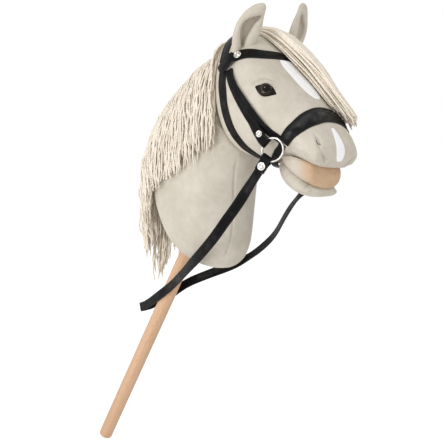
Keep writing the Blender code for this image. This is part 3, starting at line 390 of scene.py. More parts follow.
class Wire:
    """A node's output socket. Arithmetic on it adds Math nodes to its tree."""

    def __init__(self, recipe: "Recipe", socket: bpy.types.NodeSocket) -> None:
        """Wraps a socket of a recipe's tree."""
        self.recipe = recipe
        self.socket = socket

    def _math(self, operation: str, *values: object) -> "Wire":
        """One Math node on these values."""
        return self.recipe.add("ShaderNodeMath", dict(enumerate(values)), operation=operation)

    def __add__(self, other: object) -> "Wire":
        """Sum."""
        return self._math("ADD", self, other)

    __radd__ = __add__

    def __sub__(self, other: object) -> "Wire":
        """Difference."""
        return self._math("SUBTRACT", self, other)

    def __rsub__(self, other: object) -> "Wire":
        """Difference from a number."""
        return self._math("SUBTRACT", other, self)

    def __mul__(self, other: object) -> "Wire":
        """Product."""
        return self._math("MULTIPLY", self, other)

    __rmul__ = __mul__

    def __truediv__(self, other: object) -> "Wire":
        """Quotient."""
        return self._math("DIVIDE", self, other)

    def __abs__(self) -> "Wire":
        """Absolute value."""
        return self._math("ABSOLUTE", self)

    def sine(self) -> "Wire":
        """Sine of the value in radians."""
        return self._math("SINE", self)

    def fraction(self) -> "Wire":
        """The part after the point."""
        return self._math("FRACT", self)

    def between(self, low: float, high: float) -> "Wire":
        """An eased step from 0 at low to 1 at high."""
        ranges = {"Value": self, "From Min": low, "From Max": high}
        return self.recipe.add("ShaderNodeMapRange", ranges, interpolation_type="SMOOTHSTEP")


class Recipe:
    """The node tree of one material."""

    def __init__(self, name: str) -> None:
        """Starts a material of this name with its Principled shader."""
        self.material = bpy.data.materials.new(name)
        self.material.use_nodes = True
        self.tree = self.material.node_tree
        self.shader = self.tree.nodes["Principled BSDF"]

    def add(self, kind: str, sockets: dict | None = None, output: int = 0, **settings: object) -> Wire:
        """Adds a node.

        Args:
            kind: The node's type.
            sockets: A value or a wire for each socket, by name or number.
            output: Which output to return.
            settings: The node's settings.

        Returns:
            The chosen output.
        """
        node = self.tree.nodes.new(kind)
        for name, value in settings.items():
            setattr(node, name, value)
        for name, value in (sockets or {}).items():
            self.feed(node.inputs[name], value)
        return Wire(self, node.outputs[output])

    def feed(self, socket: bpy.types.NodeSocket, value: object) -> None:
        """Gives a socket a link or a value. A colour is given without its alpha of 1."""
        if isinstance(value, Wire):
            self.tree.links.new(value.socket, socket)
        else:
            socket.default_value = (*value, 1.0) if socket.type == "RGBA" else value

    def mix(self, share: object, first: object, second: object) -> Wire:
        """A blend of two colours."""
        return self.add("ShaderNodeMix", {0: share, 6: first, 7: second}, 2, data_type="RGBA")

    def position(self, turn: Matrix | None = None, scale: Point = (1.0, 1.0, 1.0)) -> Wire:
        """Object coordinates, turned and scaled.

        Args:
            turn: The rotation that the pattern's own frame needs.
            scale: A factor for each axis after the turn.

        Returns:
            The coordinates.
        """
        place = self.add("ShaderNodeTexCoord", output=3)
        if turn is not None:
            turned_place = {0: place, "Rotation": turn.to_euler()}
            place = self.add("ShaderNodeMapping", turned_place, vector_type="POINT")
        return self.add("ShaderNodeMapping", {0: place, "Scale": scale}, vector_type="POINT")

    def noise(self, place: Wire, scale: float, detail: float = 2.0, roughness: float = 0.5) -> Wire:
        """Fractal noise from 0 to 1.

        Args:
            place: The coordinates that it is drawn on.
            scale: Its scale, in features to the metre.
            detail: How many finer layers it has.
            roughness: How strong each finer layer is.

        Returns:
            The noise.
        """
        sockets = {"Vector": place, "Scale": scale, "Detail": detail, "Roughness": roughness}
        return self.add("ShaderNodeTexNoise", sockets)

    def cell_edges(self, place: Wire, scale: float) -> Wire:
        """The distance to the nearest edge between cells."""
        cells = {"Vector": place, "Scale": scale}
        return self.add("ShaderNodeTexVoronoi", cells, feature="DISTANCE_TO_EDGE")

    def attribute(self, name: str) -> Wire:
        """A number that the mesh holds for each vertex, or 0 without it."""
        return self.add("ShaderNodeAttribute", output=2, attribute_name=name)

    def uv(self) -> tuple[Wire, Wire]:
        """The piece's own U and V."""
        both = self.add("ShaderNodeUVMap", uv_map="UVMap")
        split = self.add("ShaderNodeSeparateXYZ", {0: both})
        return split, Wire(self, split.socket.node.outputs[1])

    def bump(self, height: Wire, depth: float, strength: float = 1.0, under: Wire | None = None) -> Wire:
        """A normal raised by a height, over another bump where one is given.

        Args:
            height: The height.
            depth: How far a height of 1 stands up.
            strength: How much of the bump shows.
            under: The bump beneath it.

        Returns:
            The normal.
        """
        sockets = {"Strength": strength, "Distance": depth, "Height": height}
        if under is not None:
            sockets["Normal"] = under
        return self.add("ShaderNodeBump", sockets)

    def finish(
        self, colour: object, roughness: object, normal: Wire | None = None, **constants: object
    ) -> bpy.types.Material:
        """Feeds the shader.

        Args:
            colour: The base colour.
            roughness: The roughness.
            normal: The normal, if bumps change it.
            constants: Values for other sockets, by name, with _ for a space.

        Returns:
            The material.
        """
        self.feed(self.shader.inputs["Base Color"], colour)
        self.feed(self.shader.inputs["Roughness"], roughness)
        if normal is not None:
            self.feed(self.shader.inputs["Normal"], normal)
        for name, value in constants.items():
            self.feed(self.shader.inputs[name.replace("_", " ")], value)
        return self.material


@dataclass(frozen=True)
class Velour:
    """Short-pile cloth: mottled nap, fine fibres and soft sheen. Seams, painted shade in creases and hollows, and
    the mouth's paler tone take a second colour where the mesh says so.
    """

    name: str
    light: Colour
    dark: Colour
    # The second colour: for dark seams, for painted shade in creases and hollows, and for the mouth lining's paler
    # tone.
    seam: Colour
    nap_scale: float = 22.0
    brushed_scale: float = 95.0
    weave_scale: float = 420.0
    pile_scale: float = 1500.0
    nap_depth: float = 0.9 * MM
    fibre_depth: float = 0.35 * MM
    sheen: float = 0.35
    sheen_lift: float = 1.25

    def make(self) -> bpy.types.Material:
        """The material."""
        recipe = Recipe(self.name)
        place = recipe.position()
        nap = recipe.noise(place, self.nap_scale, 3.0, 0.55)
        brushed = recipe.noise(place, self.brushed_scale, 4.0, 0.6)
        pile = recipe.noise(place, self.pile_scale, 2.0, 0.7)
        weave = recipe.noise(place, self.weave_scale, 2.0, 0.6)
        share = (nap * 0.62 + brushed * 0.38).between(0.3, 0.72)
        colour = recipe.mix(share, self.dark, self.light)
        speckle = (pile - 0.5) * 0.5 + (weave - 0.5) * 0.35 + 0.5
        colour = recipe.mix(speckle.between(0.25, 0.5) * 0.16, colour, self.dark)
        # Painted shade in creases and hollows, dark seams and the mouth's paler tone, where the mesh says so.
        colour = recipe.mix(recipe.attribute(SEAM_SHADE_AND_TONE), colour, self.seam)
        fibres = recipe.bump(pile + weave * 0.8, self.fibre_depth, 0.5)
        normal = recipe.bump(brushed, self.nap_depth, 0.35, fibres)
        return recipe.finish(
            colour,
            0.85 + 0.1 * nap,
            normal,
            Sheen_Weight=self.sheen,
            Sheen_Roughness=0.45,
            Sheen_Tint=tuple(min(1.0, channel * self.sheen_lift) for channel in self.light),
            Specular_IOR_Level=0.15,
        )


@dataclass(frozen=True)
class StrapLeather:
    """Black leatherette: fine grain, smears of polish, edges painted lighter as a painted highlight, and two rows
    of stitches.
    """

    name: str
    stitched: bool = True
    black: Colour = (0.0035, 0.003, 0.003)
    worn: Colour = (0.035, 0.033, 0.032)
    thread: Colour = (0.022, 0.021, 0.021)
    stitch_pitch: float = 4.2 * MM
    stitch_place: float = 0.13
    grain_scale: float = 1100.0
    crease_scale: float = 260.0
    smear_scale: float = 45.0
    relief: float = 0.22 * MM
    shine: float = 0.07
    polish: float = 0.22

    def make(self) -> bpy.types.Material:
        """The material."""
        recipe = Recipe(self.name)
        place = recipe.position()
        grain = recipe.cell_edges(place, self.grain_scale)
        creases = recipe.noise(place, self.crease_scale, 3.0, 0.6)
        smears = recipe.noise(place, self.smear_scale, 2.0, 0.5)
        across, along = recipe.uv()
        from_edge = 0.5 - abs(across - 0.5)
        edge = 1 - from_edge.between(0.0, 0.06)
        rubbed = tuple(channel * 2.0 for channel in self.black)
        colour = recipe.mix(smears.between(0.35, 0.7) * 0.5, self.black, rubbed)
        # Painted highlight: the edges painted lighter.
        colour = recipe.mix(edge * 0.7, colour, self.worn)
        height = grain.between(0.0, 0.12) * 0.5 + creases * 0.6
        if self.stitched:
            row = 1 - abs(from_edge - self.stitch_place).between(0.015, 0.045)
            gap = (along / self.stitch_pitch).fraction()
            stitch = row * (1 - abs(gap - 0.5).between(0.3, 0.42))
            colour = recipe.mix(stitch * 0.8, colour, self.thread)
            height = height + stitch * 2.2 - row * 1.4
        normal = recipe.bump(height, self.relief, 0.75)
        return recipe.finish(
            colour,
            0.27 + smears * 0.12 + edge * 0.1,
            normal,
            Specular_IOR_Level=self.shine,
            Coat_Weight=smears.between(0.45, 0.7) * from_edge.between(0.1, 0.4) * self.polish,
            Coat_Roughness=0.36,
        )


@dataclass(frozen=True)
class PlatedSteel:
    """Bright plating with faint scratches and darker blotches at random."""

    name: str
    bright: Colour = (0.6, 0.585, 0.56)
    smudged: Colour = (0.34, 0.31, 0.28)
    smudge_scale: float = 160.0
    scratch_scale: float = 700.0
    scratch_depth: float = 0.03 * MM

    def make(self) -> bpy.types.Material:
        """The material."""
        recipe = Recipe(self.name)
        blotches = recipe.noise(recipe.position(), self.smudge_scale, 3.0, 0.6)
        scratch = recipe.noise(recipe.position(scale=(1.0, 1.0, 9.0)), self.scratch_scale, 2.0, 0.5)
        colour = recipe.mix(blotches.between(0.4, 0.65) * 0.7, self.bright, self.smudged)
        normal = recipe.bump(scratch, self.scratch_depth, 0.5)
        return recipe.finish(colour, 0.12 + blotches * 0.16, normal, Metallic=1.0)


@dataclass(frozen=True)
class Beech:
    """Lacquered beech: straight grain along the stick with the short dark flecks of its rays."""

    name: str
    pale: Colour = (0.68, 0.45, 0.29)
    warm: Colour = (0.57, 0.34, 0.2)
    dark: Colour = (0.38, 0.19, 0.09)
    grain_scale: float = 420.0
    band_scale: float = 95.0
    ray_scale: float = 900.0
    relief: float = 0.12 * MM

    def make(self) -> bpy.types.Material:
        """The material."""
        recipe = Recipe(self.name)
        turn = STICK_AXIS.to_track_quat("Z", "Y").to_matrix().inverted()
        long_grain = recipe.noise(recipe.position(turn, (1.0, 1.0, 0.035)), self.grain_scale, 4.0, 0.62)
        bands = recipe.noise(recipe.position(turn, (1.0, 1.0, 0.02)), self.band_scale, 2.0, 0.5)
        rays = recipe.noise(recipe.position(turn, (1.0, 1.0, 0.11)), self.ray_scale, 1.0, 0.4)
        share = (bands * 0.6 + long_grain * 0.4).between(0.3, 0.72)
        fleck = rays.between(0.64, 0.74)
        colour = recipe.mix(fleck * 0.55, recipe.mix(share, self.pale, self.warm), self.dark)
        normal = recipe.bump(long_grain - fleck * 0.4, self.relief, 0.5)
        return recipe.finish(colour, 0.42 + long_grain * 0.14, normal, Specular_IOR_Level=0.35)


@dataclass(frozen=True)
class CottonYarn:
    """Plied cotton yarn: turns of the ply along each strand, fuzz, painted shade between the plies, and a tone for
    each strand, painted darker as shade on the deeper strands.
    """

    name: str
    light: Colour = (0.87, 0.8, 0.7)
    dark: Colour = (0.67, 0.57, 0.445)
    sheen_tint: Colour = (1.0, 0.95, 0.85)
    plies: int = 2
    turn_length: float = 9.0 * MM
    fuzz_scale: float = 1700.0
    patch_scale: float = 60.0
    ply_depth: float = 0.3 * MM
    fuzz_depth: float = 0.2 * MM

    def make(self) -> bpy.types.Material:
        """The material."""
        recipe = Recipe(self.name)
        place = recipe.position()
        around, along = recipe.uv()
        turns = (around * self.plies + along / self.turn_length) * (2 * math.pi)
        ply = turns.sine() * 0.5 + 0.5
        fuzz = recipe.noise(place, self.fuzz_scale, 2.0, 0.7)
        patches = recipe.noise(place, self.patch_scale, 2.0, 0.5)
        # Painted shade in the grooves between the plies.
        shade_between_plies = (1 - ply).between(0.6, 1.0)
        # Each strand's tone, with painted shade on the deeper strands.
        share = (recipe.attribute(TINT_AND_SHADE) + shade_between_plies * 0.12 + patches * 0.2 - 0.1).between(0.0, 1.0)
        normal = recipe.bump(fuzz, self.fuzz_depth, 0.4, recipe.bump(ply, self.ply_depth, 0.45))
        return recipe.finish(
            recipe.mix(share, self.light, self.dark),
            0.9,
            normal,
            Sheen_Weight=0.25,
            Sheen_Roughness=0.5,
            Sheen_Tint=self.sheen_tint,
            Specular_IOR_Level=0.15,
        )


@dataclass(frozen=True)
class EyeGloss:
    """A domed eye: black pupil, streaked brown iris and dark rim.

    The mesh holds the distance from the middle of the pupil, as a share of the iris's radius.
    """

    name: str
    pupil: Colour = (0.004, 0.003, 0.003)
    iris: Colour = (0.075, 0.055, 0.025)
    streak: Colour = (0.03, 0.02, 0.01)
    iris_edge: Colour = (0.012, 0.009, 0.006)
    streak_scale: float = 900.0
    pupil_ends: tuple[float, float] = (0.62, 0.72)
    iris_ends: tuple[float, float] = (0.84, 0.98)

    def make(self) -> bpy.types.Material:
        """The material."""
        recipe = Recipe(self.name)
        radius = recipe.attribute(FROM_PUPIL)
        streaks = recipe.noise(recipe.position(), self.streak_scale, 3.0, 0.6)
        iris = recipe.mix(streaks.between(0.35, 0.7), self.iris, self.streak)
        colour = recipe.mix(radius.between(*self.pupil_ends), self.pupil, iris)
        colour = recipe.mix(radius.between(*self.iris_ends), colour, self.iris_edge)
        return recipe.finish(colour, 0.05 + streaks * 0.02, None, Specular_IOR_Level=0.17)


@dataclass(frozen=True)
class SatinThread:
    """Dense satin stitching that runs across its shape."""

    name: str
    deep: Colour = (0.007, 0.005, 0.004)
    lit: Colour = (0.03, 0.022, 0.018)
    thread_scale: float = 1600.0
    relief: float = 0.15 * MM

    def make(self) -> bpy.types.Material:
        """The material."""
        recipe = Recipe(self.name)
        threads = recipe.noise(recipe.position(scale=(0.25, 1.0, 1.0)), self.thread_scale, 2.0, 0.6)
        colour = recipe.mix(threads.between(0.45, 0.75) * 0.6, self.deep, self.lit)
        return recipe.finish(colour, 0.6, recipe.bump(threads, self.relief, 0.6), Specular_IOR_Level=0.1)


@dataclass(frozen=True)
class PlainMatter:
    """A hidden inner piece: woven cotton or moulded nylon."""

    name: str
    colour: Colour
    roughness: float
    scale: float
    relief: float = 0.2 * MM

    def make(self) -> bpy.types.Material:
        """The material."""
        recipe = Recipe(self.name)
        threads = recipe.noise(recipe.position(), self.scale, 3.0, 0.6)
        shade = tuple(channel * 0.75 for channel in self.colour)
        colour = recipe.mix(threads, self.colour, shade)
        return recipe.finish(colour, self.roughness, recipe.bump(threads, self.relief, 0.4))


class Surface:
    """Finished skins that other pieces lie on."""

    RAY_START = 0.3
    GUIDE_DENSITY = 16
    GUIDE_REACH = 3

    def __init__(self, *pieces: bpy.types.Object) -> None:
        """Builds a search tree over the faces of the pieces."""
        points: list[tuple] = []
        faces: list[list[int]] = []
        for piece in pieces:
            first = len(points)
            points += [tuple(point) for point in points_of(piece)]
            faces += [[first + index for index in face.vertices] for face in piece.data.polygons]
        self.tree = BVHTree.FromPolygons(points, faces)

    def nearest(self, point: np.ndarray) -> tuple[np.ndarray, np.ndarray]:
        """The nearest point of the skin and the outward normal there."""
        place, normal, _, _ = self.tree.find_nearest(Vector(point))
        return np.array(place), np.array(normal)

    def reach_out(self, x: float, z: float, side: Side) -> float:
        """How far the skin stands out from the middle plane at a place, on one side. 0 beside the skin."""
        start = Vector((x, side.value * self.RAY_START, z))
        hit = self.tree.ray_cast(start, Vector((0.0, -side.value, 0.0)))[0]
        return max(0.0, hit.y * side.value) if hit is not None else 0.0

    def under(self, points: np.ndarray, reach: int) -> tuple[np.ndarray, np.ndarray]:
        """The points of the skin nearest to these, and the skin's normals there.

        Args:
            points: Points near the skin, in a row.
            reach: How many neighbours on each side smooth a normal.

        Returns:
            The points on the skin, and smooth normals there.
        """
        found = [self.nearest(point) for point in points]
        normals = unit(averaged(np.array([normal for _, normal in found]), reach))
        return np.array([place for place, _ in found]), normals

    def lay(self, guide: np.ndarray, step: float, reach: int = 4) -> tuple[np.ndarray, np.ndarray]:
        """Lays a guide on the skin.

        Args:
            guide: Points near the skin.
            step: The distance between the points returned.
            reach: How many neighbours on each side smooth a normal.

        Returns:
            The points on the skin, and smooth normals there.
        """
        dense = spline(guide, self.GUIDE_DENSITY * len(guide))
        laid = np.array([self.nearest(point)[0] for point in dense])
        return self.under(even(averaged(laid, self.GUIDE_REACH), step), reach)


@dataclass
class Crease:
    """A line pressed into a skin, or raised from it where its depth is negative, and painted darker: painted shade
    in the crease, with a dark line where it is one of the seams.
    """

    points: np.ndarray
    depth: float
    width: float
    # How much darker it is painted: painted shade, and the dark line of seams.
    stain: float = 0.0


def press(piece: bpy.types.Object, creases: Sequence[Crease]) -> None:
    """Moves a skin's vertices along their normals near each crease, and marks how much darker each vertex is
    painted: painted shade in the creases and the dark lines of the seams.
    """
    widths_reached, painted_width = 4, 0.5
    points, normals = points_of(piece), normals_of(piece)
    moved = points.copy()
    stain = np.zeros(len(points))
    for crease in creases:
        line = even(crease.points, 1.0 * MM)
        margin = widths_reached * crease.width
        low, high = line.min(axis=0) - margin, line.max(axis=0) + margin
        near = np.flatnonzero(((points > low) & (points < high)).all(axis=1))
        if not len(near):
            continue
        distance = np.full(len(near), np.inf)
        for place in line:
            distance = np.minimum(distance, np.linalg.norm(points[near] - place, axis=1))
        share = np.exp(-((distance / crease.width) ** 2))
        moved[near] -= normals[near] * (crease.depth * share)[:, None]
        # Painted shade and the seams' dark lines, in a band narrower than the crease.
        narrow = np.exp(-((distance / (painted_width * crease.width)) ** 2))
        stain[near] = np.maximum(stain[near], crease.stain * narrow)
    set_points(piece, moved)
    set_attribute(piece, SEAM_SHADE_AND_TONE, stain)


@dataclass
class StuffedForm:
    """A sewn and stuffed piece, grown from its solid: remeshed, smoothed and blown up as cloth."""

    FRAMES = 20
    CLOTH_QUALITY = 4
    SWELL_WITHOUT_CLOTH = 0.5

    node: str
    voxel: float
    smoothing: int
    swell: float
    pressure: float = 0.0
    subdivisions: int = 1
    plugs: list[tuple[np.ndarray, float]] = field(default_factory=list)

    def build(self) -> bpy.types.Object:
        """The finished skin, with the node's holes filled."""
        skin = copy_of(self.node, self.node + "_skin")
        if self.plugs:
            balls = [self._ball(place, radius) for place, radius in self.plugs]
            select_only(skin, *balls)
            bpy.ops.object.join()
        apply_modifier(skin, "REMESH", mode="VOXEL", voxel_size=self.voxel, use_smooth_shade=True)
        start = points_of(skin)
        apply_modifier(skin, "SMOOTH", factor=0.5, iterations=self.smoothing)
        if self.pressure:
            self._inflate(skin)
        self._cap(skin, start)
        apply_modifier(skin, "SUBSURF", levels=self.subdivisions, render_levels=self.subdivisions)
        skin.data.shade_smooth()
        return skin

    def _ball(self, place: np.ndarray, radius: float) -> bpy.types.Object:
        """A ball that fills a hole before the remesh."""
        bpy.ops.mesh.primitive_uv_sphere_add(segments=24, ring_count=16, radius=radius, location=place)
        return bpy.context.object

    def _inflate(self, skin: bpy.types.Object) -> None:
        """Lets the skin swell under pressure as a closed cloth."""
        cloth = skin.modifiers.new("cloth", "CLOTH")
        cloth.settings.quality = self.CLOTH_QUALITY
        cloth.settings.use_pressure = True
        cloth.settings.uniform_pressure_force = self.pressure
        cloth.settings.effector_weights.gravity = 0.0
        cloth.point_cache.frame_start = 1
        cloth.point_cache.frame_end = self.FRAMES
        for number in range(1, self.FRAMES + 1):
            bpy.context.scene.frame_set(number)
        select_only(skin)
        bpy.ops.object.modifier_apply(modifier=cloth.name)
        bpy.context.scene.frame_set(1)

    def _cap(self, skin: bpy.types.Object, start: np.ndarray) -> None:
        """Lets no vertex leave its start by more than the swell. Without cloth, the skin is grown first."""
        if not self.pressure:
            set_points(skin, points_of(skin) + normals_of(skin) * self.swell * self.SWELL_WITHOUT_CLOTH)
        offset = points_of(skin) - start
        size = np.linalg.norm(offset, axis=1, keepdims=True)
        set_points(skin, start + offset * np.minimum(1.0, self.swell / np.maximum(size, 1e-9)))


@dataclass
class Ring:
    """A free ring of the bridle, taken from its joint in the frame."""

    side: Side
    outer: float = 36.0 * MM
    wire: float = 3.0 * MM
    clearance: float = 0.35 * MM
    weld_at: float = 0.5
    weld_spread: float = 0.06
    weld_growth: float = 0.1
    centre: np.ndarray = field(init=False)
    axis: np.ndarray = field(init=False)
    forward: np.ndarray = field(init=False)

    def __post_init__(self) -> None:
        """Reads the ring's place from its joint."""
        joint = next(j for j in frame["joints"] if j["name"] == "ring_spin_" + self.side.word)
        self.centre = np.array(joint["pos_m"], float)
        self.axis = unit(np.array(joint["axis"], float))
        sign = self.side.value
        self.forward = np.array((self.axis[1] * sign, -self.axis[0] * sign, 0.0))

    @property
    def middle_radius(self) -> float:
        """The radius to the middle of the wire."""
        return (self.outer - self.wire) / 2

    def on_wire(self, degrees: float) -> tuple[np.ndarray, np.ndarray, np.ndarray]:
        """The middle of the wire at an angle, and the radial and wire directions there."""
        turn = math.radians(degrees)
        up = np.array((0.0, 0.0, 1.0))
        radial = self.forward * math.cos(turn) + up * math.sin(turn)
        along = up * math.cos(turn) - self.forward * math.sin(turn)
        return self.centre + radial * self.middle_radius, radial, along

    def loop(self, width: float, spare: float = 0.0) -> tuple[float, float]:
        """The bore that a strap of this width needs round the curved wire, and its shift to the middle."""
        bow = (width / 2) ** 2 / (2 * self.middle_radius) / 2
        return self.wire / 2 + bow + self.clearance + spare, bow

    def build(self, plating: bpy.types.Material) -> None:
        """The ring as a smooth torus with the weld's slight thickening."""
        bpy.ops.mesh.primitive_torus_add(
            major_segments=96,
            minor_segments=20,
            major_radius=self.middle_radius,
            minor_radius=self.wire / 2,
            location=(0.0, 0.0, 0.0),
        )
        ring = bpy.context.object
        ring.name = "ring_" + self.side.word + "_wire"
        points = points_of(ring)
        angle = np.arctan2(points[:, 1], points[:, 0])
        weld = np.exp(-(((angle - self.weld_at) / self.weld_spread) ** 2))[:, None]
        core = unit(points * (1.0, 1.0, 0.0)) * self.middle_radius
        set_points(ring, core + (points - core) * (1 + self.weld_growth * weld))
        turn = Vector(self.axis).to_track_quat("Z", "Y").to_matrix().to_4x4()
        ring.data.transform(Matrix.Translation(Vector(self.centre)) @ turn)
        ring.data.shade_smooth()
        settle(ring, plating, "chrome", Body["RING_" + self.side.name], "ring_" + self.side.word)


class StrapMaker:
    """Cuts straps: a strip of columns along a route, given a thickness and rounded edges.

    The columns are shares of the half width. Their heights, in mm, sink the edges and the stitch rows.
    """

    COLUMNS = np.array((-1.0, -0.93, -0.8, -0.72, -0.4, 0.0, 0.4, 0.72, 0.8, 0.93, 1.0))
    HEIGHTS = np.array((-0.28, -0.08, -0.02, -0.06, 0.0, 0.03, 0.0, -0.06, -0.02, -0.08, -0.28))
    PADDED_WITHIN = 0.72
    EDGE_ROUNDING = 0.35 * MM
    EDGE_ANGLE = 0.9

    def __init__(self, leather: bpy.types.Material) -> None:
        """Takes the leather that all the straps share."""
        self.leather = leather

    def cut(
        self,
        name: str,
        tops: np.ndarray,
        normals: np.ndarray,
        widths: np.ndarray | float,
        thickness: float = STRAP_THICKNESS,
        hug: Callable[[np.ndarray], np.ndarray] | None = None,
        crown: float = 0.0,
    ) -> bpy.types.Object:
        """Makes one strap.

        Args:
            name: The piece's name.
            tops: The middle line of its outer face.
            normals: The outward normals of that face.
            widths: Its width, or one for each point.
            thickness: Its thickness, inward from the outer face.
            hug: Moves each point of the outer face to follow what the strap lies on.
            crown: How far padding raises the middle of the outer face.

        Returns:
            The strap.
        """
        along = unit(np.gradient(tops, axis=0))
        normals = squared(normals, along)
        across = np.cross(along, normals)
        widths = np.broadcast_to(widths, len(tops))
        side = across[:, None, :] * (widths[:, None] / 2 * self.COLUMNS[None, :])[:, :, None]
        padding = crown * (1 - np.clip(abs(self.COLUMNS) / self.PADDED_WITHIN, 0, 1) ** 2)
        rise = normals[:, None, :] * (self.HEIGHTS * MM + padding)[None, :, None]
        grid = tops[:, None, :] + side
        if hug is not None:
            grid = np.array([[hug(point) for point in row] for row in grid])
        grid = grid + rise
        faces = grid_faces(*grid.shape[:2])
        uvs = np.stack(np.meshgrid((self.COLUMNS + 1) / 2, distances_along(tops)), axis=-1)
        loop_uvs = uvs.reshape(-1, 2)[np.array(faces).ravel()]
        strap = mesh_piece(name, grid.reshape(-1, 3), faces, loop_uvs)
        apply_modifier(strap, "SOLIDIFY", thickness=thickness, offset=-1.0, use_even_offset=True)
        edges = {"width": self.EDGE_ROUNDING, "angle_limit": self.EDGE_ANGLE}
        apply_modifier(strap, "BEVEL", segments=2, limit_method="ANGLE", **edges)
        strap.data.shade_smooth()
        return strap


@dataclass
class Stick:
    """The turned beech stick, from its rounded foot up into the pocket in the neck."""

    diameter: float = 25.0 * MM
    rounding: float = 3.5 * MM
    rounding_steps: int = 6
    rings: int = 24
    facets: int = 72

    def build(self, wood: bpy.types.Material) -> None:
        """Turns the stick and sets it in the frame."""
        radius, length = self.diameter / 2, STICK_SHOWN + STICK_INSIDE
        foot = [(0.0, 0.0)]
        for step in range(self.rounding_steps + 1):
            turn = math.radians(90 * step / self.rounding_steps)
            out = radius - self.rounding * (1 - math.sin(turn))
            foot.append((out, self.rounding * (1 - math.cos(turn))))
        rings = [(radius, length * share) for share in np.linspace(0.05, 0.97, self.rings)]
        head = [(radius, length - self.rounding), (radius - self.rounding, length), (0.0, length)]
        stick = turned("stick_turned", foot + rings + head, self.facets, np.zeros(3), np.array(STICK_AXIS))
        settle(stick, wood, "wood", Body.TOY, "stick")


